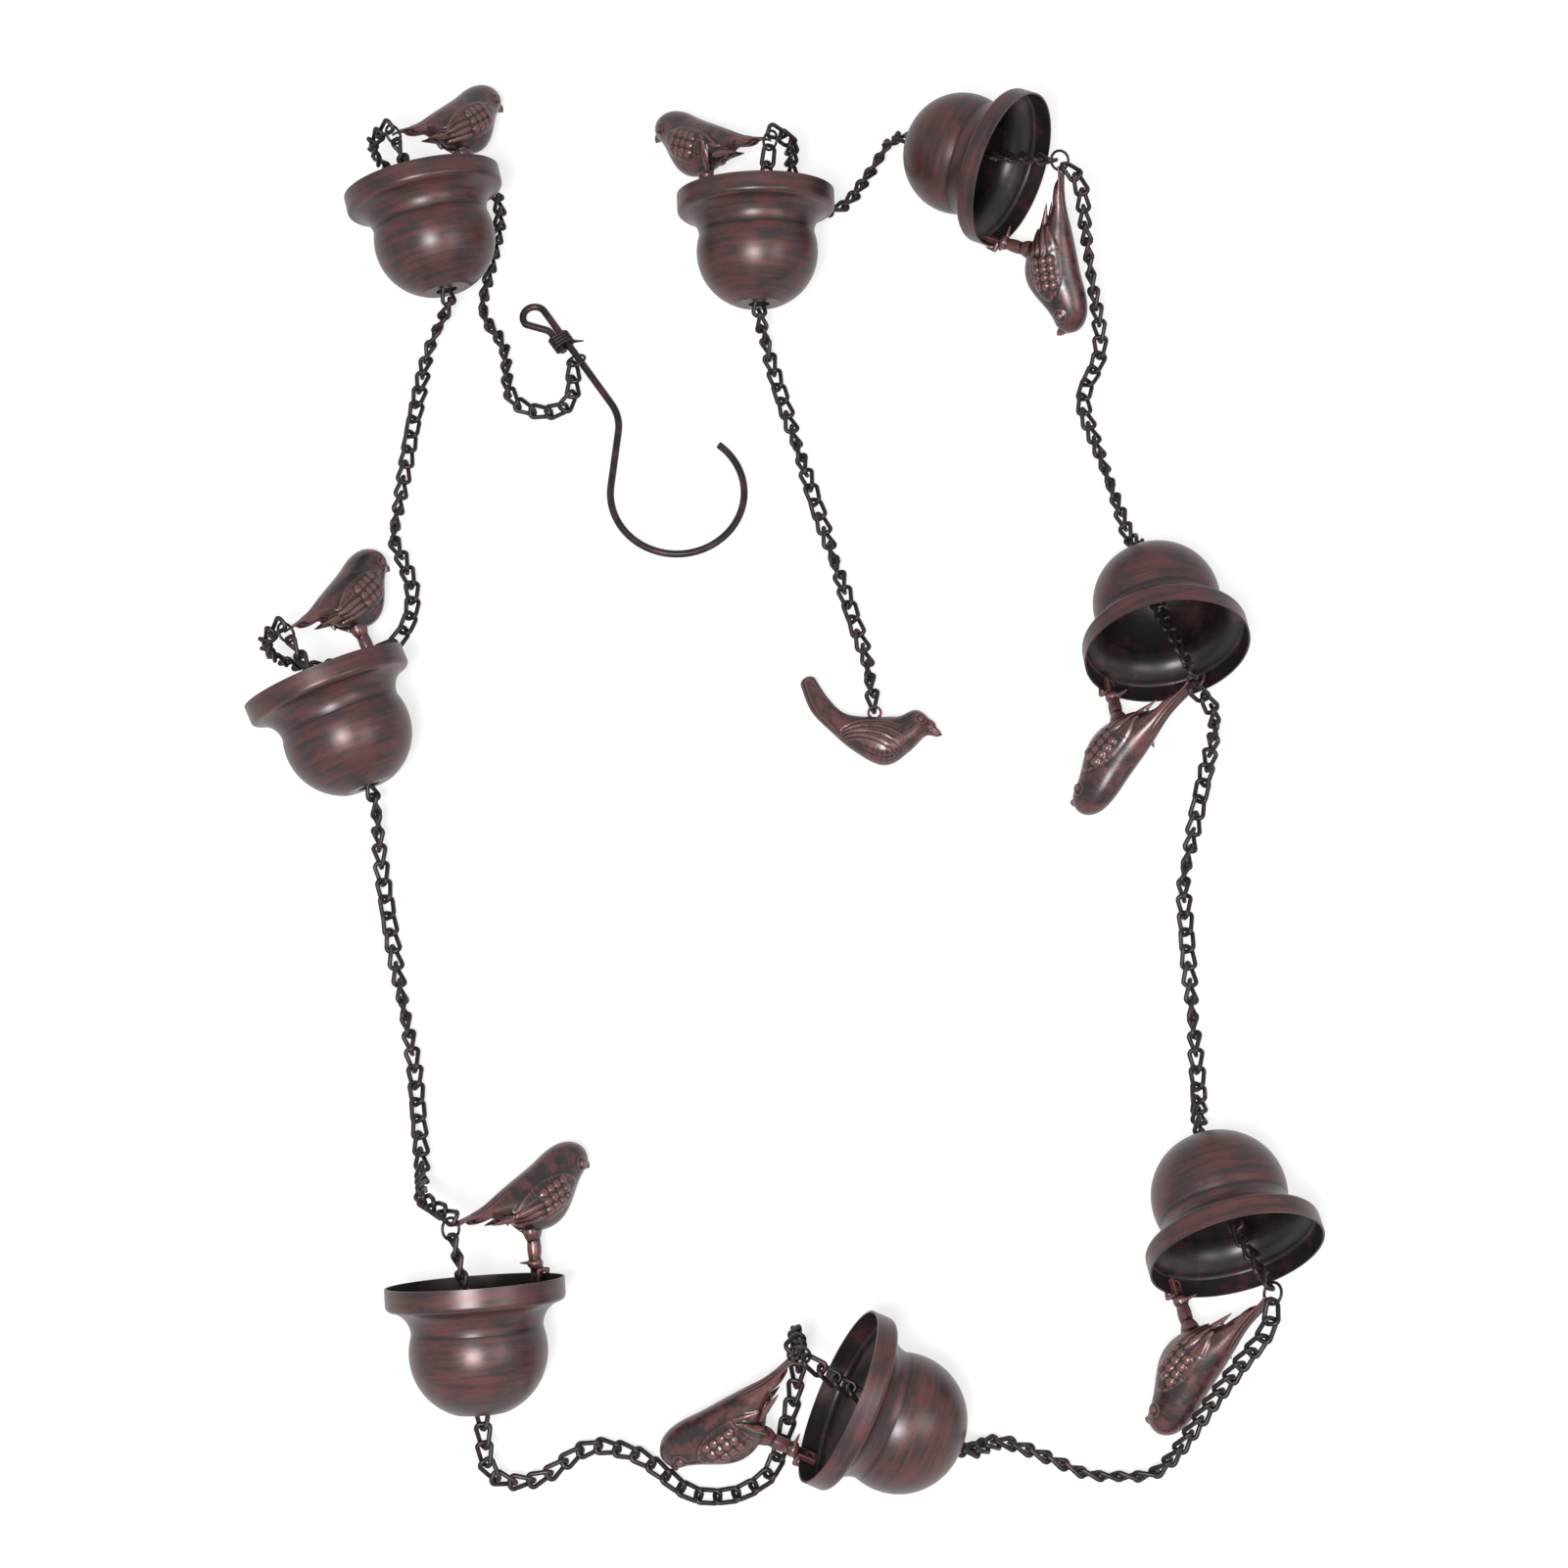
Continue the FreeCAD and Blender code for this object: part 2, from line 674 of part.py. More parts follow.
def make_tie():
    """Binding wire: close turns around the hook's shank and its returned end, with a pointed end."""
    wire = size("tie_wire")
    eye = size("hook_eye_radius")
    beside = eye - size("hook_wire") - size("hook_return_gap")
    stand_off = size("hook_wire") / 2 + size("tie_clearance") + wire / 2
    turns = []
    for turn in range(int(size("tie_turns"))):
        place = size("tie_place") + turn * (wire - size("tie_lap"))
        near = Vector(place, beside, 0)
        far = Vector(place, eye, 0)
        lift = Vector(0, 0, stand_off)
        out = Vector(0, stand_off, 0)
        edges = [
            Part.LineSegment(near + lift, far + lift).toShape(),
            Part.Arc(far + lift, far + out, far - lift).toShape(),
            Part.LineSegment(far - lift, near - lift).toShape(),
            Part.Arc(near - lift, near - out, near + lift).toShape(),
        ]
        turns.append(swept("tie_turn_%d" % turn, Part.Wire(edges), "sizes.tie_wire"))
    start = Vector(size("tie_place") + (len(turns) - 1) * (wire - size("tie_lap")), eye + stand_off, 0)
    turns.append(
        add(
            "Part::Cone",
            "tie_end_point",
            aim(start, Vector(0.5, 0.85, 0)),
            Radius1="sizes.tie_wire / 2",
            Radius2="sizes.beak_tip_radius",
            Height="sizes.tie_end",
        )
    )
    return fused("hook_tie", turns)


def make_pendant():
    """The small cast bird at the chain's tail, with a loop on its back."""
    body = loft("pendant_body", PENDANT, ORIGIN)
    brow = Vector(size("brow_along") - 1.5, 0, size("brow_above"))
    droop = math.radians(size("pendant_beak_droop"))
    beak = add(
        "Part::Cone",
        "pendant_beak",
        aim(brow, Vector(math.cos(droop), 0, -math.sin(droop))),
        Radius1="sizes.brow_half_width * 0.9",
        Radius2="sizes.beak_tip_radius",
        Height="sizes.pendant_beak_length",
    )
    eye = add(
        "Part::Torus",
        "pendant_eye",
        aim(pendant_eye_centre(), ACROSS),
        Radius1="sizes.pendant_eye_radius",
        Radius2="sizes.pendant_eye_wire / 2",
    )
    grooves = []
    depth = size("chest_half_width") - size("pendant_relief")
    for row in (-1, 0, 1):
        for side in (-1, 1):
            turn = Rotation(ACROSS, 16.0 + 7.0 * row)
            start = Vector(-20.0, depth if side > 0 else -depth - 4.0, 6.0 + row * size("pendant_feather_depth"))
            groove = add(
                "Part::Box",
                "pendant_groove_%d_%d" % (row + 1, side + 1),
                Placement(start, turn),
                Length="sizes.pendant_wing_length",
                Height="sizes.feather_groove",
            )
            groove.Width = 4.0
            grooves.append(groove)
    casting = fused("pendant_casting", [body, beak, eye])
    return cut("pendant", casting, fused("pendant_grooves", grooves))


def pendant_eye_centre():
    back = size("side_above") + size("side_half_height")
    return Vector((size("side_along") + size("chest_along")) / 2 + 1.0, 0, back + 0.6 * size("pendant_eye_radius"))


def lowest(shape):
    return shape.optimalBoundingBox(False).ZMin


def rest_tilt():
    """Tilt of a lying cup's axis, its rim and its belly both on the floor."""
    centre = belly_centre()
    out = size("rim_radius") - centre.x
    along = size("cup_height") - centre.y
    reach = math.hypot(out, along)
    return math.degrees(math.acos(size("belly_arc") / reach) - math.atan2(along, out))


def laid(heading, tilt, roll):
    """Turn of a hanging cup that lies down: its mouth to a heading, its bird rolled off the lowest line."""
    return Rotation(heading, 90 - tilt, 0) * Rotation(roll, 0, 0)


def rest_roll(cup, bird, tilt):
    """Roll at which the bird's head comes down to the floor that the cup lies on."""
    low, high = 20.0, 90.0
    cup_low = lowest(placed(cup.Shape, Placement(ORIGIN, laid(0, tilt, 0))))
    points = bird.Shape.tessellate(0.3)[0]
    for step in range(14):
        middle = (low + high) / 2
        turn = laid(0, tilt, middle)
        if min(turn.multVec(point).z for point in points) < cup_low:
            low = middle
        else:
            high = middle
    return high, cup_low


def placed(shape, placement):
    moved = shape.copy()
    moved.Placement = placement.multiply(moved.Placement)
    return moved


def linked(name, source, placement):
    """A named copy of a piece in its own place."""
    copy = doc.addObject("App::Link", name)
    copy.LinkedObject = source
    copy.Placement = placement
    return copy


class Ring:
    """A wire ring in place: its middle, its axis and its two sizes, and how a chain end hooks on."""

    def __init__(self, placement, radius, wire):
        self.middle = placement.Base
        self.axis = placement.Rotation.multVec(UP)
        self.radius = radius
        self.wire = wire

    def hooked(self, toward):
        """Chain end on the ring for a chain that leaves toward a point: its joint and the wire's way."""
        pull = toward - self.middle
        in_plane = (pull - self.axis * pull.dot(self.axis)).normalize()
        on_wire = self.middle + in_plane * self.radius
        leave = (toward - on_wire).normalize()
        joint = on_wire - leave * ((self.wire + size("link_play")) / 2)
        return joint, self.axis.cross(in_plane)


def turned_about(vector, axis, radians):
    return Rotation(axis, math.degrees(radians)).multVec(vector)


def bar_angle(way, side, wire_way):
    """Angle about the chain's way from a side vector to the end bar that hooks a wire."""
    bar = way.cross(wire_way).normalize()
    return math.atan2(side.cross(bar).dot(way), side.dot(bar))


def chain_links(points, start_wire, end_wire, half_turns):
    """Placements of the links of one run of chain, hooked at both ends and twisted evenly between."""
    path = rounded_path(points, 30.0)
    pitch = size("link_inside") - size("link_play")
    count = math.ceil(path.Length / pitch)
    joints = path.discretize(Number=count + 1)
    ways = [(joints[i + 1] - joints[i]).normalize() for i in range(count)]
    side = ways[0].cross(UP).normalize()
    sides = [side]
    for way in ways[1:]:
        side = (side - way * side.dot(way)).normalize()
        sides.append(side)
    twist = math.radians(size("link_half_twist"))
    first = bar_angle(ways[0], sides[0], start_wire) + twist
    last = bar_angle(ways[-1], sides[-1], end_wire) - twist
    change = (last - first) % math.pi - math.pi * half_turns
    placements = []
    for i, way in enumerate(ways):
        across = turned_about(sides[i], way, first + change * i / max(count - 1, 1))
        middle = (joints[i] + joints[i + 1]) * 0.5
        placements.append(Placement(middle, Rotation(way, across, way.cross(across), "XYZ")))
    return placements


def chain_run(name, link, placements):
    run = doc.addObject("App::Link", name)
    run.LinkedObject = link
    run.ShowElement = False
    run.ElementCount = len(placements)
    run.PlacementList = placements
    return run


def heights(points):
    """Give the points of a route that have none the height that a lying chain's middle has."""
    lie = size("link_lie")
    return [Vector(point[0], point[1], point[2] if len(point) > 2 else lie) for point in points]


def beside_cup(number, points):
    """Points given ahead of a lying cup's mouth and toward its bird, as points of the floor plan."""
    x, y, heading, side = CUPS[number]
    plan = Placement(Vector(x, y, 0), Rotation(heading, 0, 0))
    return [plan.multVec(Vector(point.x, side * point.y, point.z)) for point in points]


def centre_layout(parts, pieces):
    """Shift every part alike, so that the middle of what lies on the floor is at the origin."""
    points = []
    for piece, places in pieces:
        outline = piece.Shape.tessellate(0.1)[0]
        for place in places:
            points += [place.multVec(point) for point in outline]
    middle_x = (min(point.x for point in points) + max(point.x for point in points)) / 2
    middle_y = (min(point.y for point in points) + max(point.y for point in points)) / 2
    shift = Placement(Vector(-middle_x, -middle_y, 0), Rotation())
    for part in parts:
        part.Placement = shift.multiply(part.Placement)
    print("layout moved by %.3f %.3f" % (-middle_x, -middle_y))


def build():
    write_sheet()
    cup = make_cup()
    bird = make_perched_bird()
    rivet = make_rivet()
    ring = make_ring("tail_ring", "sizes.ring_wire / 2")
    link = make_link()
    hook = make_hook()
    tie = make_tie()
    pendant = make_pendant()
    doc.recompute()

    tilt = rest_tilt()
    roll, cup_low = rest_roll(cup, bird, tilt)
    parts = []
    rings = []
    cup_places = []
    outward, hole = tail_frame()
    ring_in_unit = aim(hole + outward * size("ring_radius"), ACROSS)
    for number, (x, y, heading, side) in enumerate(CUPS, start=1):
        turn = laid(heading, tilt, side * roll)
        mouth = turn.multVec(Vector(0, 0, size("cup_height")))
        place = Placement(Vector(x - mouth.x, y - mouth.y, -cup_low), turn)
        cup_places.append(place)
        parts.append(linked("cup_%d" % number, cup, place))
        parts.append(linked("bird_%d" % number, bird, place))
        parts.append(linked("foot_rivet_%d" % number, rivet, place))
        ring_place = place.multiply(ring_in_unit)
        parts.append(linked("tail_ring_%d" % number, ring, ring_place))
        rings.append(Ring(ring_place, size("ring_radius"), size("ring_wire")))

    hook_x, hook_y, hook_heading = HOOK_PLACE
    rise = size("tie_clearance") + size("tie_wire")
    span = hook.Shape.optimalBoundingBox(False).XMax - size("tie_place")
    hook_turn = Rotation(hook_heading, math.degrees(math.asin(rise / span)), 0)
    flat_hook = Placement(Vector(hook_x, hook_y, 0), hook_turn)
    hook_low = min(lowest(placed(hook.Shape, flat_hook)), lowest(placed(tie.Shape, flat_hook)))
    hook_place = Placement(Vector(hook_x, hook_y, -hook_low), hook_turn)
    parts.append(linked("hanging_hook", hook, hook_place))
    parts.append(linked("tie_wire_wrap", tie, hook_place))
    ring_seat = Vector(size("hook_return") + 8.5, size("hook_eye_radius") - 1.9, 0.1)
    hook_ring_place = hook_place.multiply(aim(ring_seat, Vector(0.6, 0, -0.8)))
    parts.append(linked("hook_ring", ring, hook_ring_place))
    hook_ring = Ring(hook_ring_place, size("ring_radius"), size("ring_wire"))

    pendant_x, pendant_y, pendant_heading = PENDANT_PLACE
    flat = Rotation(pendant_heading, 0, 0) * Rotation(Vector(1, 0, 0), -90)
    pendant_low = lowest(placed(pendant.Shape, Placement(ORIGIN, flat)))
    pendant_place = Placement(Vector(pendant_x, pendant_y, -pendant_low), flat)
    parts.append(linked("pendant_bird", pendant, pendant_place))
    pendant_ring = Ring(
        pendant_place.multiply(aim(pendant_eye_centre(), ACROSS)),
        size("pendant_eye_radius"),
        size("pendant_eye_wire"),
    )

    link_places = []
    starts = [hook_ring] + rings
    ends = rings + [pendant_ring]
    for number, (route, approach, half_turns) in enumerate(ROUTES):
        way = heights(route)
        if approach:
            way += beside_cup(number, heights(approach))
        if number:
            inside = cup_places[number - 1]
            way = [inside.multVec(Vector(0, 0, level)) for level in (30.0, 0.0, -8.0)] + way
        start, start_wire = starts[number].hooked(way[0])
        end, end_wire = ends[number].hooked(way[-1])
        links = chain_links([start] + way + [end], start_wire, end_wire, half_turns)
        parts.append(chain_run("chain_run_%d" % number, link, links))
        link_places += links
        print("chain_run_%d has %d links" % (number, len(links)))
    centre_layout(parts, [(cup, cup_places), (bird, cup_places), (link, link_places), (hook, [hook_place])])
    doc.recompute()
    print("tilt %.2f roll %.2f" % (tilt, roll))
    return parts


def write(parts):
    for thing in doc.Objects:
        if "Invalid" in thing.State or "Error" in thing.State:
            raise RuntimeError("%s failed: %s" % (thing.Name, thing.State))
    shapes = {part.Label: Part.getShape(part) for part in parts}
    for label, shape in shapes.items():
        if shape.isNull() or not shape.isValid() or not shape.Solids:
            raise RuntimeError(label + " has no valid solid")
    os.makedirs("parts", exist_ok=True)
    for label, shape in shapes.items():
        Part.makeCompound(shape.Solids).exportStep("parts/%s.step" % label)


write(build())
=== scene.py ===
# %% [markdown]
# # A rain chain laid out on a studio floor
# The real object is a string of eight spun metal cups. A cast bird grips the rim of each cup and a
# chain of twisted wire links runs from bird to bird. A wire hook heads it and a small bird ends it.
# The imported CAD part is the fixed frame. Cups, rings, rivets and hook keep their solids and get worn
# bronze finishes. The birds, the pendant, the binding wire and the coat on the links are made here,
# over the same solids, with the detail of a casting and of thick paint.

# %% Load the frame
import math

import bmesh
import bpy
from mathutils import Matrix, Vector


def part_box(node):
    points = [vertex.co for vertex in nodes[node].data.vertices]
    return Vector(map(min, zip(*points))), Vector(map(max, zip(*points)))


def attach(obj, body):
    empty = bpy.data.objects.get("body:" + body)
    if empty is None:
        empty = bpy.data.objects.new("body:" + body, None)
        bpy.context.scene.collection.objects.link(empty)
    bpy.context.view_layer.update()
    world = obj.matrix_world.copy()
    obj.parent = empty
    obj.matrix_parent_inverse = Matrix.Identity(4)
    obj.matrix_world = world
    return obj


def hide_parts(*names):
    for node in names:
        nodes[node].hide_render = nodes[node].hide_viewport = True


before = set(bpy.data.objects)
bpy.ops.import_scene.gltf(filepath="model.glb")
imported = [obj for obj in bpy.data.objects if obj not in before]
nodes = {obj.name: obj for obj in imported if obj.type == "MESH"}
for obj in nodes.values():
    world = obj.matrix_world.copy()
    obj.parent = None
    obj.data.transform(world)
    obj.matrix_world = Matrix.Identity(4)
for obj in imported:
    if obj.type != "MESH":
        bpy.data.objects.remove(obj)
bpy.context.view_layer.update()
scene = bpy.context.scene
scene.view_settings.view_transform = "Standard"
MM = 0.001

# %% [markdown]
# ## Where each cup lies
# Every cup and its bird share one small frame: the cup's axis is its Z, the bottom is zero, and the
# bird stands toward +X. A lying cup leans on the lip of its rim, and rolls until its bird's beak is
# on the floor. These few placements let a pattern or a carved shape be drawn once, as it hangs.

# %% Unit frames
# Each row has the mouth's x and y in millimetres, the way it faces in degrees, and the bird's side.
CUPS = [
    (-203, 342, 104, -1),
    (-242, 44, 114, -1),
    (-151, -275, 94, -1),
    (26, -330, 159, 1),
    (222, -262, -79, -1),
    (202, 58, -84, -1),
    (128, 350, -30, -1),
    (-16, 335, 92, 1),
]
NUMBERS = range(1, len(CUPS) + 1)
LAYOUT_SHIFT = Vector((8.608, -24.414, 0.0))
CUP_TILT = 15.10
BIRD_ROLL = 43.44
MOUTH_HEIGHT = 44.80
CUP_DEPTH = 63.0


def turn(axis, degrees):
    return Matrix.Rotation(math.radians(degrees), 4, axis)


def unit_place(number):
    x, y, heading, side = CUPS[number - 1]
    turned = turn("Z", heading) @ turn("Y", 90 - CUP_TILT) @ turn("Z", side * BIRD_ROLL)
    mouth = (Vector((x, y, MOUTH_HEIGHT)) + LAYOUT_SHIFT) * MM
    return Matrix.Translation(mouth) @ turned @ Matrix.Translation((0, 0, -CUP_DEPTH * MM))


for number in NUMBERS:
    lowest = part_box("cup_%d" % number)[0][2]
    middle = unit_place(number) @ Vector((0, 0, CUP_DEPTH * MM / 2))
    print("cup", number, "middle", [round(value, 4) for value in middle], "lowest", round(lowest, 5))

# %% [markdown]
# ## Small helpers for node trees
# A finish is easier to read when each line says one sum. The first helper makes a node and takes a
# number, or another node's output, for every input. The others make sums, soft steps, mixes of two
# colours and noises with it. They serve the shader trees and the geometry trees alike.

# %% Node helpers
MIX_FIRST = 6
MIX_SECOND = 7
MIX_RESULT = 2


def feed(tree, value, socket):
    if isinstance(value, bpy.types.NodeSocket):
        tree.links.new(value, socket)
    else:
        socket.default_value = value


def add_node(tree, kind, inputs=None, **settings):
    made = tree.nodes.new(kind)
    for name, value in settings.items():
        setattr(made, name, value)
    for name, value in (inputs or {}).items():
        feed(tree, value, made.inputs[name])
    return made


def maths(tree, operation, *values):
    return add_node(tree, "ShaderNodeMath", dict(enumerate(values)), operation=operation).outputs[0]


def two_products(tree, first, first_by, second, second_by):
    left = maths(tree, "MULTIPLY", first, first_by)
    right = maths(tree, "MULTIPLY", second, second_by)
    return maths(tree, "ADD", left, right)


def rise(tree, base, value, gain):
    return maths(tree, "ADD", base, maths(tree, "MULTIPLY", value, gain))


def parts_of(tree, vector):
    return add_node(tree, "ShaderNodeSeparateXYZ", {"Vector": vector}).outputs


print("sums ready")

# %% Colour helpers
DARK = (0.0110, 0.0090, 0.0095, 1.0)
RED_BROWN = (0.0700, 0.0230, 0.0225, 1.0)
GREY_BROWN = (0.0230, 0.0165, 0.0170, 1.0)
RUBBED_AND_HIGHLIGHT = (0.1300, 0.0520, 0.0460, 1.0)


def spread(tree, value, low, high):
    limits = {"Value": value, "From Min": low, "From Max": high}
    return add_node(tree, "ShaderNodeMapRange", limits, interpolation_type="SMOOTHSTEP").outputs["Result"]


def blend_colour(tree, amount, first, second):
    inputs = {"Factor": amount, MIX_FIRST: first, MIX_SECOND: second}
    return add_node(tree, "ShaderNodeMix", inputs, data_type="RGBA").outputs[MIX_RESULT]


def noise(tree, vector, scale, detail, roughness):
    inputs = {"Vector": vector, "Scale": scale, "Detail": detail, "Roughness": roughness}
    return add_node(tree, "ShaderNodeTexNoise", inputs).outputs["Fac"]


def new_finish(name, metallic, specular):
    material = bpy.data.materials.new(name)
    material.use_nodes = True
    shader = material.node_tree.nodes["Principled BSDF"]
    shader.inputs["Metallic"].default_value = metallic
    shader.inputs["Specular IOR Level"].default_value = specular
    return material, material.node_tree, shader


def bump(tree, shader, height, strength, distance):
    inputs = {"Height": height, "Strength": strength, "Distance": distance}
    feed(tree, add_node(tree, "ShaderNodeBump", inputs).outputs["Normal"], shader.inputs["Normal"])


print("colours from", DARK[:3], "to", RUBBED_AND_HIGHLIGHT[:3])

# %% [markdown]
# ## The cups' brushed finish
# The cups are painted near black and rubbed with red-brown while they turn, so the strokes run round
# the axis. A Mapping node brings each cup back to its hanging frame. There the strokes are a noise
# that changes quickly down the profile and slowly round it. A dark band along the crease under the
# neck is painted shade. The inside is darker than the outside, told apart by which way the wall faces.

# %% Cup strokes
STROKES_DOWN = 320.0
STROKES_OUT = 180.0
STROKES_ROUND = 1.1
STROKES_APART = 17.0
AXIS_RADIUS = 2.0 * MM
FACES_DOWN = -0.6
WALL_EDGE = 0.15


def cup_frame(tree, number):
    """The point and the way its wall faces, both in the cup's hanging frame."""
    back = unit_place(number).inverted()
    coords = add_node(tree, "ShaderNodeTexCoord").outputs
    moved = {
        "Vector": coords["Object"],
        "Location": back.to_translation(),
        "Rotation": back.to_euler(),
    }
    turned = {"Vector": coords["Normal"], "Rotation": back.to_euler()}
    place = add_node(tree, "ShaderNodeMapping", moved)
    facing = add_node(tree, "ShaderNodeMapping", turned)
    return place.outputs["Vector"], facing.outputs["Vector"]


def outside_of_wall(tree, facing, round_x, round_y):
    """One where the wall faces away from the axis or down, nought inside the cup."""
    wall = parts_of(tree, facing)
    outward = two_products(tree, wall[0], round_x, wall[1], round_y)
    below = maths(tree, "LESS_THAN", wall[2], FACES_DOWN)
    return maths(tree, "MAXIMUM", spread(tree, outward, -WALL_EDGE, WALL_EDGE), below)


def stroke_space(tree, number, round_x, round_y, radius, height):
    """A space that is stretched round the axis and pressed together down the profile."""
    profile = two_products(tree, height, STROKES_DOWN, radius, STROKES_OUT)
    inputs = {
        "X": maths(tree, "MULTIPLY", round_x, STROKES_ROUND),
        "Y": maths(tree, "MULTIPLY", round_y, STROKES_ROUND),
        "Z": maths(tree, "ADD", profile, STROKES_APART * number),
    }
    return add_node(tree, "ShaderNodeCombineXYZ", inputs).outputs["Vector"]


print("a stroke is about", round(1.0 / STROKES_DOWN / MM, 1), "mm high on a straight wall")

# %% Cup finish
STROKE_SHARE = 0.62
PATCH_SHARE = 0.38
SPECK_DEPTH = 0.75
CREASE_HEIGHT = 39.7 * MM
CREASE_CORE = 0.3 * MM
CREASE_EDGE = 1.8 * MM
PAINTED_CREASE_SHADE = 0.85
INSIDE_RUB = 0.5


def outer_colour_and_shade(tree, strokes, patches, specks, height):
    rubbed = two_products(tree, strokes, STROKE_SHARE, patches, PATCH_SHARE)
    paint_coat = blend_colour(tree, spread(tree, rubbed, 0.40, 0.60), GREY_BROWN, RED_BROWN)
    speck = maths(tree, "MULTIPLY", spread(tree, specks, 0.56, 0.70), SPECK_DEPTH)
    paint_coat = blend_colour(tree, speck, paint_coat, DARK)
    # Painted shade: a dark band along the crease under the neck.
    away = maths(tree, "ABSOLUTE", maths(tree, "SUBTRACT", height, CREASE_HEIGHT))
    crease_shade = maths(tree, "SUBTRACT", 1.0, spread(tree, away, CREASE_CORE, CREASE_EDGE))
    return blend_colour(tree, maths(tree, "MULTIPLY", crease_shade, PAINTED_CREASE_SHADE), paint_coat, DARK)


def cup_finish(number):
    material, tree, shader = new_finish("cup_bronze_%d" % number, metallic=0.25, specular=0.40)
    place, facing = cup_frame(tree, number)
    x, y, height = parts_of(tree, place)
    radius = maths(tree, "SQRT", two_products(tree, x, x, y, y))
    radius = maths(tree, "MAXIMUM", radius, AXIS_RADIUS)
    round_x = maths(tree, "DIVIDE", x, radius)
    round_y = maths(tree, "DIVIDE", y, radius)
    stroke = stroke_space(tree, number, round_x, round_y, radius, height)
    strokes = noise(tree, stroke, scale=1.0, detail=6.0, roughness=0.62)
    specks = noise(tree, stroke, scale=2.7, detail=7.0, roughness=0.7)
    patches = noise(tree, place, scale=70.0, detail=5.0, roughness=0.65)
    outer = outer_colour_and_shade(tree, strokes, patches, specks, height)
    inside_rub = maths(tree, "MULTIPLY", spread(tree, patches, 0.46, 0.68), INSIDE_RUB)
    inner = blend_colour(tree, inside_rub, DARK, RED_BROWN)
    outside = outside_of_wall(tree, facing, round_x, round_y)
    feed(tree, blend_colour(tree, outside, inner, outer), shader.inputs["Base Color"])
    feed(tree, rise(tree, 0.28, strokes, 0.18), shader.inputs["Roughness"])
    bump(tree, shader, strokes, strength=0.12, distance=0.3 * MM)
    return material


def paint(name, material):
    slots = nodes[name].data.materials
    slots.clear()
    slots.append(material)


for number in NUMBERS:
    paint("cup_%d" % number, cup_finish(number))
print("finished", len(CUPS), "cups")

# %% [markdown]
# ## Chain, rings, rivets and hook
# The links were dipped dark and only a little red-brown shows on them. The hook's thicker wire was
# wiped, so it is a browner bronze. Both patterns are noise on Object coordinates, at the scale of
# the piece, with a finer grain for the roughness.

# %% Wire finishes
GRAIN_FINER = 9.0


def wire_finish(name, rubbed, scale):
    material, tree, shader = new_finish(name, metallic=0.4, specular=0.34)
    place = add_node(tree, "ShaderNodeTexCoord").outputs["Object"]
    patches = noise(tree, place, scale=scale, detail=5.0, roughness=0.65)
    rub = maths(tree, "MULTIPLY", spread(tree, patches, 0.44, 0.68), rubbed)
    feed(tree, blend_colour(tree, rub, DARK, RED_BROWN), shader.inputs["Base Color"])
    grain = noise(tree, place, scale=scale * GRAIN_FINER, detail=3.0, roughness=0.6)
    feed(tree, rise(tree, 0.3, grain, 0.22), shader.inputs["Roughness"])
    bump(tree, shader, grain, strength=0.15, distance=0.1 * MM)
    return material


chain_finish = wire_finish("chain_metal", rubbed=0.35, scale=160.0)
hook_finish = wire_finish("hook_wire", rubbed=0.75, scale=90.0)
small_finish = wire_finish("small_wire", rubbed=0.5, scale=260.0)
WIRE_PIECES = {
    "chain_run": chain_finish,
    "hanging_hook": hook_finish,
    "tail_ring": small_finish,
    "foot_rivet": small_finish,
    "hook_ring": small_finish,
    "tie_wire": small_finish,
}
for start, finish in WIRE_PIECES.items():
    named = [name for name in nodes if name.startswith(start)]
    for name in named:
        paint(name, finish)
    print("finished", len(named), "of", start)

# %% [markdown]
# ## The birds' finish
# The cut lines and hollows are darkened, which is painted shade. Raised points take a red-brown rub,
# which is wear and a painted highlight together. Each bird mesh carries two values per point, worked
# out when it is carved: how far the point stands out from its neighbours, and how deep it lies in a
# cut. The finish reads them as attributes, so the wear, the painted highlight and the painted shade
# stay on the feathers from any side.

# %% Bird finish
BIRD_SPECKS = 0.7
BIRD_WEAR_AND_HIGHLIGHT = 0.75


def bird_finish(name):
    material, tree, shader = new_finish(name, metallic=0.25, specular=0.50)
    place = add_node(tree, "ShaderNodeTexCoord").outputs["Object"]
    raised = add_node(tree, "ShaderNodeAttribute", attribute_name="raised").outputs["Fac"]
    deep = add_node(tree, "ShaderNodeAttribute", attribute_name="deep").outputs["Fac"]
    patches = noise(tree, place, scale=120.0, detail=6.0, roughness=0.68)
    colour = blend_colour(tree, spread(tree, patches, 0.42, 0.60), DARK, RED_BROWN)
    specks = noise(tree, place, scale=420.0, detail=5.0, roughness=0.7)
    speck = maths(tree, "MULTIPLY", spread(tree, specks, 0.54, 0.68), BIRD_SPECKS)
    colour = blend_colour(tree, speck, colour, DARK)
    # Raised points: red-brown wear together with a painted highlight.
    wear_and_highlight = maths(tree, "MULTIPLY", spread(tree, raised, 0.05, 0.8), BIRD_WEAR_AND_HIGHLIGHT)
    colour = blend_colour(tree, wear_and_highlight, colour, RUBBED_AND_HIGHLIGHT)
    # Painted shade: cut lines and hollows are darkened.
    colour = blend_colour(tree, spread(tree, deep, 0.1, 0.75), colour, DARK)
    feed(tree, colour, shader.inputs["Base Color"])
    feed(tree, rise(tree, 0.2, patches, 0.2), shader.inputs["Roughness"])
    grain = noise(tree, place, scale=700.0, detail=4.0, roughness=0.6)
    bump(tree, shader, grain, strength=0.18, distance=0.25 * MM)
    return material


bird_bronze = bird_finish("bird_bronze")
print("bird finish has", len(bird_bronze.node_tree.nodes), "nodes")
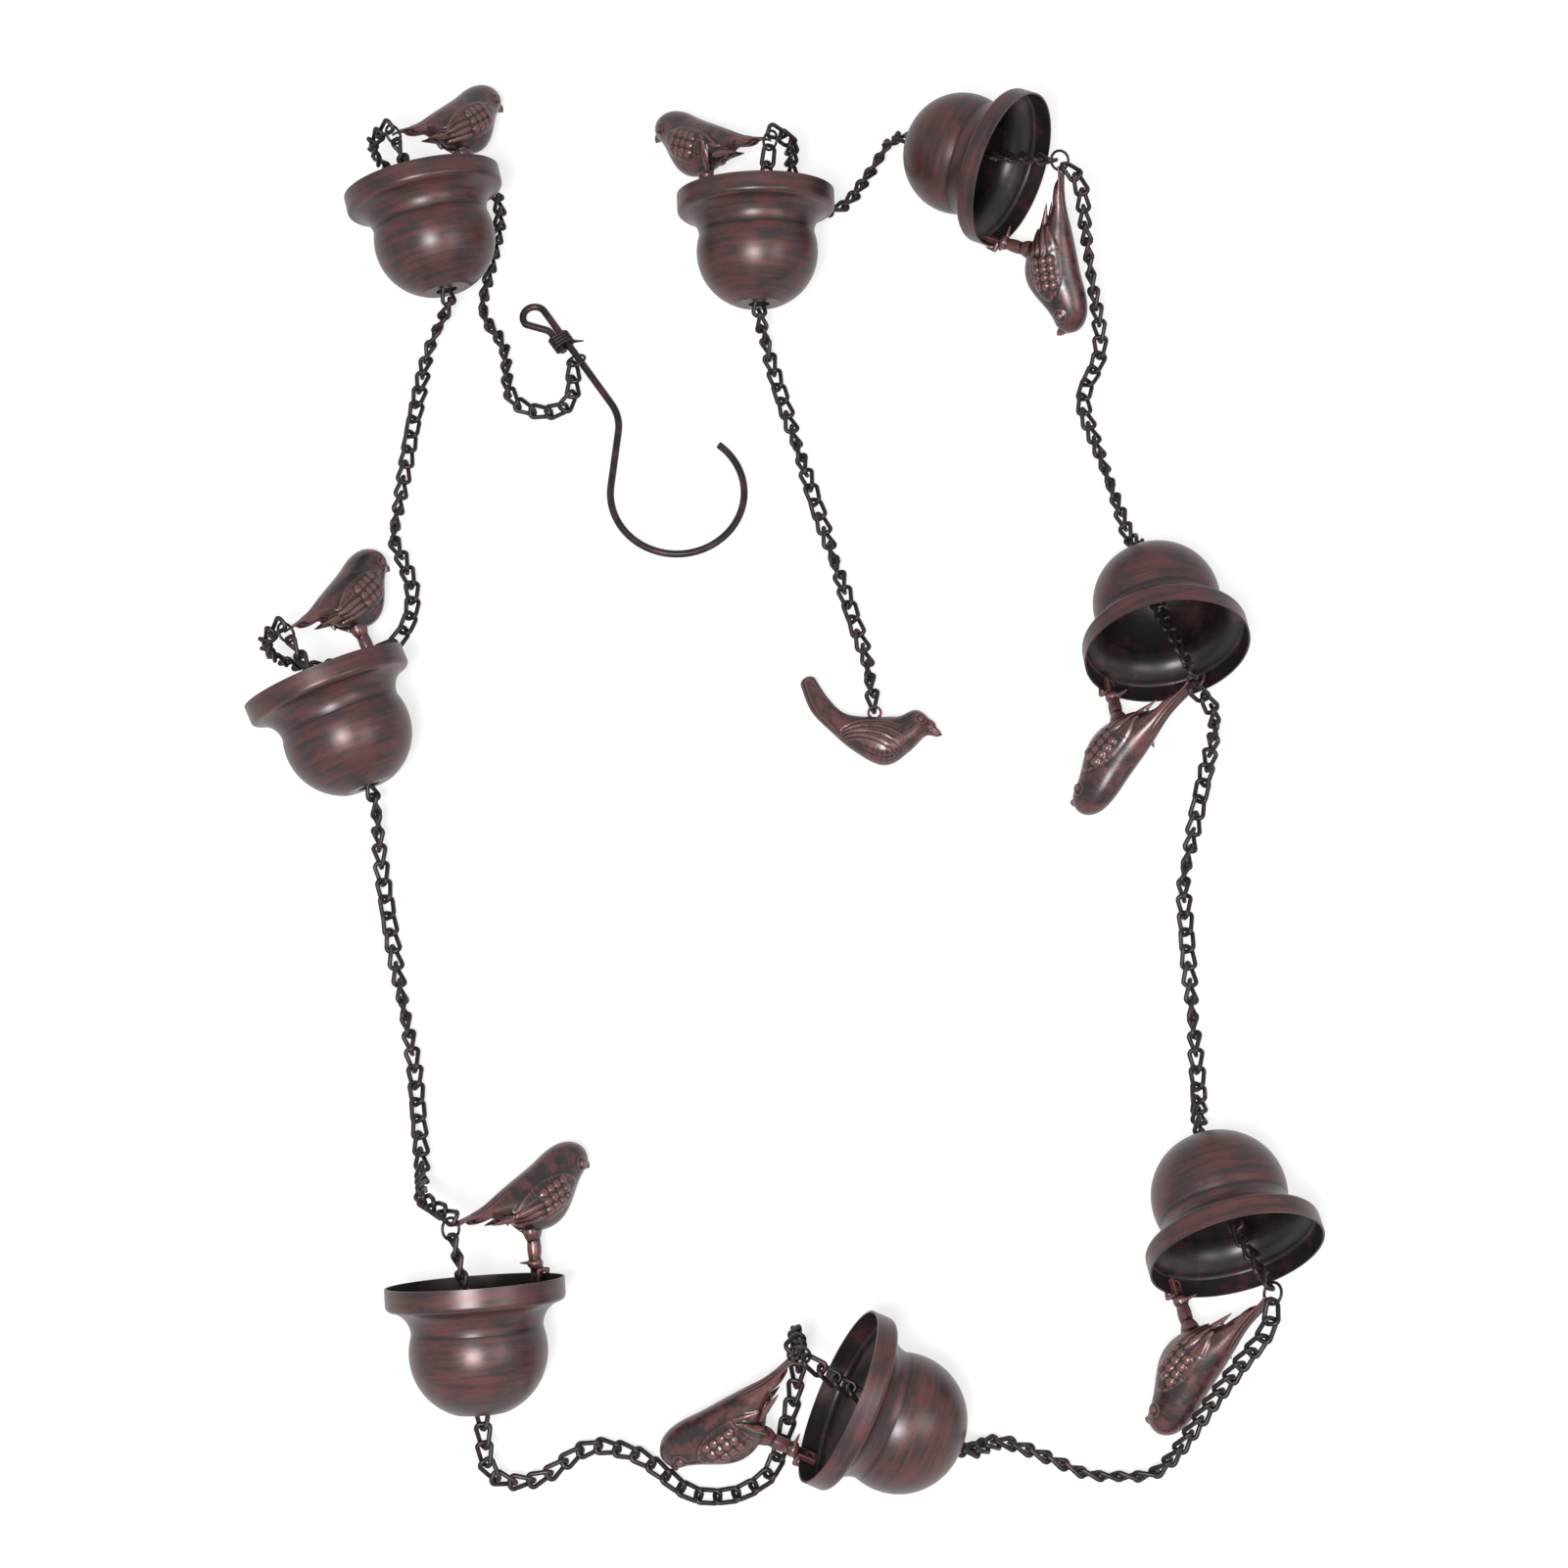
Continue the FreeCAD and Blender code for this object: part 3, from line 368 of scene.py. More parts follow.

# %% [markdown]
# ## Trees that make geometry
# What repeats is made by Geometry Nodes. A tree starts from named sizes, ends by making its copies
# real and giving them a material, and is then turned into a plain mesh, because only that can be
# carved further.

# %% Tree helpers


def geometry_tree(name, inputs):
    tree = bpy.data.node_groups.new(name, "GeometryNodeTree")
    tree.interface.new_socket("Geometry", in_out="INPUT", socket_type="NodeSocketGeometry")
    for label in inputs:
        tree.interface.new_socket(label, in_out="INPUT", socket_type="NodeSocketFloat")
    tree.interface.new_socket("Geometry", in_out="OUTPUT", socket_type="NodeSocketGeometry")
    return tree, add_node(tree, "NodeGroupInput").outputs


def close_tree(tree, parts, material):
    join = add_node(tree, "GeometryNodeJoinGeometry")
    for part in parts:
        tree.links.new(part, join.inputs["Geometry"])
    real = add_node(tree, "GeometryNodeRealizeInstances", {"Geometry": join.outputs["Geometry"]})
    dressed = {"Geometry": real.outputs["Geometry"], "Material": material}
    skin = add_node(tree, "GeometryNodeSetMaterial", dressed)
    add_node(tree, "NodeGroupOutput", {"Geometry": skin.outputs["Geometry"]})
    print(tree.name, "has", len(tree.nodes), "nodes")


def run_tree(thing, tree, inputs):
    modifier = thing.modifiers.new(tree.name, "NODES")
    modifier.node_group = tree
    for item in tree.interface.items_tree:
        if item.in_out == "INPUT" and item.name in inputs:
            modifier[item.identifier] = inputs[item.name]


def to_mesh(thing, name):
    """The evaluated shape as a plain mesh; the modified object is removed."""
    view = bpy.context.evaluated_depsgraph_get()
    mesh = bpy.data.meshes.new_from_object(thing.evaluated_get(view))
    mesh.name = name
    bpy.data.objects.remove(thing)
    return mesh


def put_in_scene(name, mesh):
    thing = bpy.data.objects.new(name, mesh)
    scene.collection.objects.link(thing)
    return thing


print("tree helpers ready")

# %% [markdown]
# ## Feathers with Geometry Nodes
# On the real bird each wing has short square feathers in rows, and long ones behind them. A grid of
# points is set out in the wing's plane, each point is dropped onto the flank by a Raycast, and a
# small pillow is put there, laid along the flank. The tree has its sizes as named inputs. A voxel
# remesh afterwards melts pillows and body into one skin, as the mould does.

# %% Feather patch
WING_LEAN = 24.0
RAY_START = 30.0
PILLOW_SEGMENTS = 12
PILLOW_RINGS = 8


def flank_points(tree, body, side, centre, lay, rows, columns, row_pitch, column_pitch):
    """A grid of points dropped on one flank, which keep the flank's facing as their lean."""
    sizes = {
        "Size X": (columns - 1) * column_pitch * MM,
        "Size Y": (rows - 1) * row_pitch * MM,
        "Vertices X": columns,
        "Vertices Y": rows,
    }
    grid = add_node(tree, "GeometryNodeMeshGrid", sizes)
    off_flank = (centre + Vector((0, side * RAY_START, 0))) * MM
    lifted = {"Geometry": grid.outputs["Mesh"], "Translation": off_flank, "Rotation": lay}
    place = add_node(tree, "GeometryNodeTransform", lifted)
    aim = {"Target Geometry": body, "Ray Direction": (0, -side, 0)}
    ray = add_node(tree, "GeometryNodeRaycast", aim).outputs
    lean = {"Geometry": place.outputs["Geometry"], "Name": "lean", "Value": ray["Hit Normal"]}
    keep = add_node(tree, "GeometryNodeStoreNamedAttribute", lean, data_type="FLOAT_VECTOR")
    landed = {"Geometry": keep.outputs["Geometry"], "Position": ray["Hit Position"]}
    return add_node(tree, "GeometryNodeSetPosition", landed).outputs["Geometry"]


def wing_patch(tree, given, side, centre, pillow, **grid):
    """Pillows of three named half sizes on one flank, each laid along it."""
    lay = (turn("Y", -WING_LEAN) @ turn("X", 90)).to_euler()
    points = flank_points(tree, given["Geometry"], side, centre, lay, **grid)
    lean = add_node(tree, "GeometryNodeInputNamedAttribute", {"Name": "lean"}, data_type="FLOAT_VECTOR")
    laid = {"Rotation": lay, "Vector": lean.outputs["Attribute"]}
    align = add_node(tree, "FunctionNodeAlignRotationToVector", laid, axis="Z")
    ball = {"Segments": PILLOW_SEGMENTS, "Rings": PILLOW_RINGS, "Radius": MM}
    ball = add_node(tree, "GeometryNodeMeshUVSphere", ball)
    halves = {axis: given[label] for axis, label in zip("XYZ", pillow)}
    halves = add_node(tree, "ShaderNodeCombineXYZ", halves)
    pressed = {"Geometry": ball.outputs["Mesh"], "Scale": halves.outputs["Vector"]}
    pressed = add_node(tree, "GeometryNodeTransform", pressed)
    put = {
        "Points": points,
        "Instance": pressed.outputs["Geometry"],
        "Rotation": align.outputs["Rotation"],
    }
    return add_node(tree, "GeometryNodeInstanceOnPoints", put).outputs["Instances"]


print("wings lean", WING_LEAN, "degrees")

# %% Feather tree
FEATHER_SIZES = {
    "Covert half length": 2.5,
    "Covert half width": 2.3,
    "Covert height": 1.5,
    "Quill half length": 8.6,
    "Quill half width": 1.7,
    "Quill height": 1.2,
}
COVERT = ("Covert half length", "Covert half width", "Covert height")
QUILL = ("Quill half length", "Quill half width", "Quill height")
COVERT_GRID = {"rows": 3, "columns": 4, "row_pitch": 4.5, "column_pitch": 4.7}
QUILL_GRID = {"rows": 4, "columns": 1, "row_pitch": 3.0, "column_pitch": 3.0}
along_wing = turn("Y", -WING_LEAN).to_3x3()
WING_CENTRE = Vector((42.0, 0.0, 99.0))
COVERT_CENTRE = WING_CENTRE + along_wing @ Vector((5.4, 0, 0))
QUILL_CENTRE = WING_CENTRE + along_wing @ Vector((-12.5, 0, -0.6))
feather_tree, given = geometry_tree("wing_feathers", FEATHER_SIZES)
skins = [given["Geometry"]]
for side in (-1, 1):
    skins.append(wing_patch(feather_tree, given, side, COVERT_CENTRE, COVERT, **COVERT_GRID))
    skins.append(wing_patch(feather_tree, given, side, QUILL_CENTRE, QUILL, **QUILL_GRID))
close_tree(feather_tree, skins, bird_bronze)

# %% [markdown]
# ## One carved bird, placed eight times
# The eight birds came from one mould. The CAD bird is copied into its hanging frame, filled out with
# lumps of metal and feathered, remeshed and smoothed, then cut with the finer lines: a ring round
# each eye, the line of the beak and the rays of the tail. The cuts are sums on each point's place,
# pushed in along its normal.

# %% Casting helpers
WELD = 1e-6
VOXEL = 0.55 * MM
SOFTEN_ROUNDS = 4
SOFTEN_SHARE = 0.5
LUMP_SEGMENTS = 20
LUMP_RINGS = 14


def welded_copy(name, back):
    mesh = nodes[name].data.copy()
    mesh.transform(back)
    work = bmesh.new()
    work.from_mesh(mesh)
    bmesh.ops.remove_doubles(work, verts=work.verts, dist=WELD)
    work.to_mesh(mesh)
    work.free()
    return put_in_scene(name + "_cast", mesh)


def add_lump(thing, middle, half, lean):
    """An egg of casting metal that the melt takes into the body: muscle, beak or tail root."""
    work = bmesh.new()
    work.from_mesh(thing.data)
    stretch = Matrix.Diagonal((half[0] * MM, half[1] * MM, half[2] * MM, 1.0))
    place = Matrix.Translation(Vector(middle) * MM) @ turn("Y", -lean) @ stretch
    sizes = {"u_segments": LUMP_SEGMENTS, "v_segments": LUMP_RINGS, "radius": 1.0}
    bmesh.ops.create_uvsphere(work, matrix=place, **sizes)
    work.to_mesh(thing.data)
    work.free()


def melt(thing):
    remesh = thing.modifiers.new("melt", "REMESH")
    remesh.mode = "VOXEL"
    remesh.voxel_size = VOXEL
    smooth = thing.modifiers.new("soften", "SMOOTH")
    smooth.factor = SOFTEN_SHARE
    smooth.iterations = SOFTEN_ROUNDS


print("melting at", VOXEL / MM, "mm")

# %% Cuts, wear and painted light
CUT_DEPTH = 0.5 * MM
FULL_BULGE = 0.03 * MM
HOLLOW_GAIN = 1.2
CHEEK = 3.0


def groove(distance, width):
    return math.exp(-((distance / width) ** 2))


def eye_cut(away, ring, line, ball, swell):
    """A ring cut round an eyeball that stands out."""
    return groove(away - ring, line) - swell * groove(away, ball)


def ray_cut(place, inner, outer):
    """Two cuts on each side of the tail's middle."""
    sideways = abs(place.y)
    return groove(min(abs(sideways - inner), abs(sideways - outer)), 0.4)


def mark_wear_and_painted_light(mesh, cuts):
    """Stores how far each point stands out from its neighbours, and how deep its cut is."""
    count = len(mesh.vertices)
    around = [Vector() for point in range(count)]
    links = [0] * count
    for edge in mesh.edges:
        first, second = edge.vertices
        around[first] += mesh.vertices[second].co
        around[second] += mesh.vertices[first].co
        links[first] += 1
        links[second] += 1
    raised = []
    hollow = []
    for point in mesh.vertices:
        apart = point.co - around[point.index] / links[point.index]
        bulge = apart.dot(point.normal) / FULL_BULGE
        raised.append(max(0.0, min(1.0, bulge)))
        hollow.append(max(cuts[point.index], min(1.0, -bulge * HOLLOW_GAIN)))
    mesh.attributes.new("raised", "FLOAT", "POINT").data.foreach_set("value", raised)
    mesh.attributes.new("deep", "FLOAT", "POINT").data.foreach_set("value", hollow)


def carve(mesh, cut_at):
    depths = []
    moves = []
    for point in mesh.vertices:
        depth = cut_at(point.co / MM)
        depths.append(max(0.0, min(1.0, depth)))
        moves.append(point.co - point.normal * (depth * CUT_DEPTH))
    for point, place in zip(mesh.vertices, moves):
        point.co = place
    mesh.update()
    mark_wear_and_painted_light(mesh, depths)
    mesh.shade_smooth()
    print(mesh.name, "has", len(mesh.polygons), "faces after carving")


print("cuts go", CUT_DEPTH / MM, "mm deep")

# %% Carve the bird
# Each lump has its middle, its half sizes and its lean in degrees.
LUMPS = {
    "beak": ((77.4, 0.0, 115.2), (4.8, 3.0, 2.6), -38.0),
    "beak tip": ((79.2, 0.0, 113.9), (3.3, 1.5, 1.4), -40.0),
    "crown": ((69.5, 0.0, 117.6), (8.6, 8.2, 8.4), 0.0),
    "tail root": ((8.5, 0.0, 95.0), (12.5, 4.4, 3.4), 14.0),
    "thigh": ((40.0, 0.0, 84.5), (5.2, 4.4, 6.8), 0.0),
    "shank": ((40.6, 0.0, 75.5), (3.8, 3.5, 9.5), 0.0),
    "foot": ((40.6, 0.0, 68.0), (4.2, 4.2, 3.0), 0.0),
}
EYE = Vector((68.0, 0.0, 115.0))
EYE_REACH = 5.0
BROW_RADIUS = 3.6
BEAK_START = 74.0
BEAK_CORNER = Vector((76.0, 0.0, 115.2))
BEAK_SLOPE = 0.75
TAIL_ROOT = 22.0
TAIL_UNDER = 86.0
TAIL_FADE = 6.0


def bird_cuts(place):
    away = math.hypot(place.x - EYE.x, place.z - EYE.z)
    cut = 0.0
    if abs(place.y) > CHEEK and away < EYE_REACH:
        cut = eye_cut(away, ring=2.4, line=0.6, ball=1.3, swell=1.1) - 0.5 * groove(away - BROW_RADIUS, 0.6)
    if place.x > BEAK_START:
        line = BEAK_CORNER.z - BEAK_SLOPE * (place.x - BEAK_CORNER.x)
        cut = max(cut, 0.8 * groove(place.z - line, 0.5))
    if place.x < TAIL_ROOT and place.z > TAIL_UNDER:
        fade = min(1.0, (TAIL_ROOT - place.x) / TAIL_FADE)
        cut = max(cut, 0.9 * ray_cut(place, inner=1.0, outer=2.6) * fade)
    return cut


bird_thing = welded_copy("bird_1", unit_place(1).inverted())
for middle, half, lean in LUMPS.values():
    add_lump(bird_thing, middle, half, lean)
run_tree(bird_thing, feather_tree, FEATHER_SIZES)
melt(bird_thing)
bird_mesh = to_mesh(bird_thing, "perched_bird")
carve(bird_mesh, bird_cuts)

# %% Place the birds


def show(name, mesh, material, replaced):
    mesh.materials.clear()
    mesh.materials.append(material)
    thing = put_in_scene(name, mesh)
    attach(thing, "root")
    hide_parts(replaced)


for number in NUMBERS:
    mesh = bird_mesh.copy()
    mesh.transform(unit_place(number))
    show("cast_bird_%d" % number, mesh, bird_bronze, "bird_%d" % number)
print("placed", len(CUPS), "birds")

# %% [markdown]
# ## Chain links, swelled by their coat
# The links carry a thick dip of dark paint that rounds and fattens the wire. A small tree takes a
# run's solids, joins their loose triangles and moves the skin out along its normals by the coat's
# thickness. A Decimate after it keeps each of the many links to a few hundred faces.

# %% Coat the links
COAT = {"Coat": 0.2 * MM}
KEPT_FACES = 0.15
coat_tree, given = geometry_tree("link_coat", COAT)
loose = {"Geometry": given["Geometry"], "Distance": WELD}
weld = add_node(coat_tree, "GeometryNodeMergeByDistance", loose)
normal = add_node(coat_tree, "GeometryNodeInputNormal").outputs["Normal"]
outward = {"Vector": normal, "Scale": given["Coat"]}
thick = add_node(coat_tree, "ShaderNodeVectorMath", outward, operation="SCALE")
moved = {"Geometry": weld.outputs["Geometry"], "Offset": thick.outputs["Vector"]}
swell = add_node(coat_tree, "GeometryNodeSetPosition", moved)
close_tree(coat_tree, [swell.outputs["Geometry"]], chain_finish)
chain_runs = sorted(name for name in nodes if name.startswith("chain_run"))
for name in chain_runs:
    thing = put_in_scene(name + "_coat", nodes[name].data.copy())
    run_tree(thing, coat_tree, COAT)
    thing.modifiers.new("thin", "DECIMATE").ratio = KEPT_FACES
    mesh = to_mesh(thing, "coated_" + name)
    mesh.shade_smooth()
    show("coated_" + name, mesh, chain_finish, name)
    print(name, "from", len(nodes[name].data.polygons), "to", len(mesh.polygons), "faces")

# %% [markdown]
# ## The pendant bird
# The bird at the chain's tail is a plainer casting that lies on its side. Its body is drawn afresh
# as a skin through the same eight oval sections that the CAD uses, from the tail's tip to the brow,
# with a round end at each. It gets a beak, the loop on its back, and the same melt, wear, painted
# highlight and painted shade. Its folded wing is a few long curved cuts, with an eye, the line of the beak
# and tail rays.

# %% Pendant skin
# Each section has its place along and above, its lean in degrees, half its height and half its width.
PENDANT_SECTIONS = [
    (-41.5, 33.5, -58.0, 4.6, 3.4),
    (-35.4, 20.8, -50.0, 6.0, 4.2),
    (-25.8, 10.6, -34.0, 6.4, 5.6),
    (-14.0, 4.2, -22.0, 10.0, 8.6),
    (0.0, 0.0, -6.0, 13.6, 10.6),
    (9.5, 3.9, 15.0, 10.2, 8.8),
    (17.2, 9.0, 8.0, 8.6, 7.8),
    (22.6, 7.8, -12.0, 4.6, 4.4),
]
SECTION_STEPS = 6
OVAL_CORNERS = 28
END_ROUNDING = (0.0, 0.4, 0.75, 0.95)


def smooth_between(before, first, second, after, part):
    """A cubic that passes through both sections and leans on their neighbours."""
    values = []
    for a, b, c, d in zip(before, first, second, after):
        bend = (2 * a - 5 * b + 4 * c - d) * part**2 + (3 * b - a - 3 * c + d) * part**3
        values.append(b + 0.5 * ((c - a) * part + bend))
    return values


def oval_ring(work, section, rounding=0.0, way=1):
    """One oval of points, drawn in and pushed out along the body where an end is rounded."""
    along, above, lean, half_height, half_width = section
    shrink = math.sqrt(1 - rounding * rounding)
    push = way * rounding * half_width
    tilt = math.radians(lean)
    ring = []
    for corner in range(OVAL_CORNERS):
        angle = 2 * math.pi * corner / OVAL_CORNERS
        up = half_height * shrink * math.cos(angle)
        x = along - up * math.sin(tilt) + push * math.cos(tilt)
        z = above + up * math.cos(tilt) + push * math.sin(tilt)
        ring.append(work.verts.new(Vector((x, half_width * shrink * math.sin(angle), z)) * MM))
    return ring


def section_rings(work, sections):
    rings = [oval_ring(work, sections[0], rounding, -1) for rounding in END_ROUNDING[:0:-1]]
    for index in range(len(sections) - 1):
        before = sections[max(index - 1, 0)]
        first, second = sections[index : index + 2]
        after = sections[min(index + 2, len(sections) - 1)]
        for step in range(SECTION_STEPS):
            middle = smooth_between(before, first, second, after, step / SECTION_STEPS)
            rings.append(oval_ring(work, middle))
    return rings + [oval_ring(work, sections[-1], rounding) for rounding in END_ROUNDING]


def skin_through(sections, name):
    work = bmesh.new()
    rings = section_rings(work, sections)
    for near, far in zip(rings, rings[1:]):
        for corner in range(OVAL_CORNERS):
            work.faces.new((near[corner], near[corner - 1], far[corner - 1], far[corner]))
    work.faces.new(rings[0])
    work.faces.new(reversed(rings[-1]))
    bmesh.ops.recalc_face_normals(work, faces=work.faces)
    mesh = bpy.data.meshes.new(name)
    work.to_mesh(mesh)
    work.free()
    return put_in_scene(name, mesh)


pendant_thing = skin_through(PENDANT_SECTIONS, "pendant_skin")
print("pendant skin has", len(pendant_thing.data.polygons), "faces")

# %% Pendant loop and beak
LOOP_MIDDLE = Vector((-6.0, 0.0, 16.24))
LOOP_RADIUS = 3.4
LOOP_WIRE = 0.85
LOOP_STEPS = 32
WIRE_CORNERS = 12
PENDANT_LUMPS = {
    "beak": ((24.6, 0.0, 6.0), (5.6, 3.0, 2.6), -30.0),
    "beak tip": ((26.6, 0.0, 4.9), (4.0, 1.6, 1.5), -30.0),
}


def wire_ring(work, around):
    ring = []
    for corner in range(WIRE_CORNERS):
        angle = 2 * math.pi * corner / WIRE_CORNERS
        reach = LOOP_RADIUS + LOOP_WIRE * math.cos(angle)
        sideways = LOOP_WIRE * math.sin(angle)
        place = Vector((reach * math.cos(around), sideways, reach * math.sin(around)))
        ring.append(work.verts.new((LOOP_MIDDLE + place) * MM))
    return ring


def add_loop(thing):
    """The wire loop on the back, a ring in the bird's own plane."""
    work = bmesh.new()
    work.from_mesh(thing.data)
    rings = [wire_ring(work, 2 * math.pi * step / LOOP_STEPS) for step in range(LOOP_STEPS)]
    faces = []
    for step in range(LOOP_STEPS):
        near, far = rings[step - 1], rings[step]
        for corner in range(WIRE_CORNERS):
            corners = (near[corner - 1], near[corner], far[corner], far[corner - 1])
            faces.append(work.faces.new(corners))
    bmesh.ops.recalc_face_normals(work, faces=faces)
    work.to_mesh(thing.data)
    work.free()


for middle, half, lean in PENDANT_LUMPS.values():
    add_lump(pendant_thing, middle, half, lean)
add_loop(pendant_thing)
print("with beak and loop it has", len(pendant_thing.data.polygons), "faces")

# %% Carve the pendant
PENDANT_PLACE = Matrix.Translation(Vector((63.108, -3.914, 10.665)) * MM) @ turn("X", -90)
PENDANT_EYE = Vector((18.6, 0.0, 10.4))
PENDANT_EYE_REACH = 4.0
PENDANT_BEAK_START = 23.5
PENDANT_BEAK_CORNER = Vector((21.0, 0.0, 7.6))
PENDANT_BEAK_SLOPE = 0.58
WING_BACK = -24.0
WING_FRONT = 8.0
WING_FADE = 5.0
WING_FLANK = 4.0
WING_LINES = 4
WING_TOP = 8.5
WING_PITCH = 3.6
WING_MIDDLE = -8.0
WING_CURVE = 0.017
WING_FAN = 0.12
PENDANT_TAIL = -27.0


def wing_line(row, along):
    """The height of one long feather's edge: a flat arch, steeper for each lower row."""
    off_middle = along - WING_MIDDLE
    return WING_TOP - row * WING_PITCH - WING_CURVE * off_middle**2 - WING_FAN * row * off_middle


def pendant_cuts(place):
    away = math.hypot(place.x - PENDANT_EYE.x, place.z - PENDANT_EYE.z)
    cut = 0.0
    if abs(place.y) > CHEEK and away < PENDANT_EYE_REACH:
        cut = eye_cut(away, ring=1.9, line=0.5, ball=1.0, swell=0.8)
    if place.x > PENDANT_BEAK_START:
        line = PENDANT_BEAK_CORNER.z - PENDANT_BEAK_SLOPE * (place.x - PENDANT_BEAK_CORNER.x)
        cut = max(cut, 0.8 * groove(place.z - line, 0.45))
    if WING_BACK < place.x < WING_FRONT and abs(place.y) > WING_FLANK:
        fade = min(1.0, (WING_FRONT - place.x) / WING_FADE)
        for row in range(WING_LINES):
            cut = max(cut, groove(place.z - wing_line(row, place.x), 0.5) * fade)
    if place.x < PENDANT_TAIL:
        cut = max(cut, 0.7 * ray_cut(place, inner=1.0, outer=2.4))
    return cut


melt(pendant_thing)
pendant_mesh = to_mesh(pendant_thing, "pendant")
carve(pendant_mesh, pendant_cuts)
pendant_mesh.transform(PENDANT_PLACE)
show("cast_pendant", pendant_mesh, bird_bronze, "pendant_bird")

# %% [markdown]
# ## Binding wire on the hook
# The hook's returned end is held by a few turns of thin wire. In the CAD the turns are closed rings.
# Here they are what the maker winds: one wire in a helix round both rods, with its cut end sticking
# out. A Spiral curve does it: its points are parted sideways by the rods' spacing, so that each turn
# is an oval, and a circle is swept along it.

# %% Wire tree
WRAP_SIZES = {
    "Turns": 4.2,
    "Length": 7.9,
    "Stand off": 3.25,
    "Half spacing": 2.125,
    "Wire radius": 1.05,
}
POINTS_PER_TURN = 28
CUT_END_LENGTH = 6.5
CUT_END_RADIUS = 0.35
CUT_END_PLACE = (0.6, 5.2, 7.2)
CUT_END_TURN = (math.radians(-60), 0, 0)


def wound_wire(tree, given):
    helix = {
        "Resolution": POINTS_PER_TURN,
        "Rotations": given["Turns"],
        "Start Radius": given["Stand off"],
        "End Radius": given["Stand off"],
        "Height": given["Length"],
    }
    spiral = add_node(tree, "GeometryNodeCurveSpiral", helix)
    place = add_node(tree, "GeometryNodeInputPosition").outputs["Position"]
    way = maths(tree, "SIGN", parts_of(tree, place)[1])
    apart = {"Y": maths(tree, "MULTIPLY", way, given["Half spacing"])}
    shift = add_node(tree, "ShaderNodeCombineXYZ", apart)
    parted = {"Geometry": spiral.outputs["Curve"], "Offset": shift.outputs["Vector"]}
    oval = add_node(tree, "GeometryNodeSetPosition", parted)
    section = {"Resolution": WIRE_CORNERS, "Radius": given["Wire radius"]}
    section = add_node(tree, "GeometryNodeCurvePrimitiveCircle", section)
    swept = {
        "Curve": oval.outputs["Geometry"],
        "Profile Curve": section.outputs["Curve"],
        "Fill Caps": True,
    }
    return add_node(tree, "GeometryNodeCurveToMesh", swept).outputs["Mesh"]


def cut_end(tree, given):
    taper = {
        "Vertices": WIRE_CORNERS,
        "Radius Top": CUT_END_RADIUS,
        "Radius Bottom": given["Wire radius"],
        "Depth": CUT_END_LENGTH,
    }
    spike = add_node(tree, "GeometryNodeMeshCone", taper)
    aimed = {
        "Geometry": spike.outputs["Mesh"],
        "Translation": CUT_END_PLACE,
        "Rotation": CUT_END_TURN,
    }
    return add_node(tree, "GeometryNodeTransform", aimed).outputs["Geometry"]


wrap_tree, given = geometry_tree("binding_wire", WRAP_SIZES)
close_tree(wrap_tree, [wound_wire(wrap_tree, given), cut_end(wrap_tree, given)], small_finish)

# %% Wind the wire
HOOK_MIDDLE = Vector((-132.392, 254.586, 4.714))
HOOK_HEADING = -56
HOOK_DIP = 0.859
WRAP_START = Vector((17.2, 4.475, 0.0))
hook_place = Matrix.Translation(HOOK_MIDDLE * MM) @ turn("Z", HOOK_HEADING) @ turn("Y", HOOK_DIP)
wrap_thing = put_in_scene("wrap", bpy.data.meshes.new("wrap"))
run_tree(wrap_thing, wrap_tree, WRAP_SIZES)
wrap_mesh = to_mesh(wrap_thing, "binding_wire")
wrap_mesh.transform(turn("Y", 90))
wrap_mesh.transform(Matrix.Translation(WRAP_START))
wrap_mesh.transform(Matrix.Scale(MM, 4))
wrap_mesh.transform(hook_place)
wrap_mesh.shade_smooth()
show("binding_wire", wrap_mesh, small_finish, "tie_wire_wrap")
print("binding wire has", len(wrap_mesh.polygons), "faces")

# %% [markdown]
# ## Floor, light and camera
# The object lies on a white sweep under one soft light from the front, with a weaker one from the
# right. The floor looks white to the camera and to reflections through Light Path, and keeps a share
# of real light so that the soft contact shadows stay. The floor lies a coat's thickness below the
# solids. The camera stands at seventy degrees above the floor.

# %% Studio floor
FLOOR_HALF = 6.0
FLOOR_GREY = (0.86, 0.86, 0.86, 1.0)
GLOW_SHARE = 0.72


def seen_directly(tree):
    rays = add_node(tree, "ShaderNodeLightPath").outputs
    seen = maths(tree, "ADD", rays["Is Camera Ray"], rays["Is Glossy Ray"])
    return maths(tree, "MINIMUM", maths(tree, "ADD", seen, rays["Is Transmission Ray"]), 1.0)


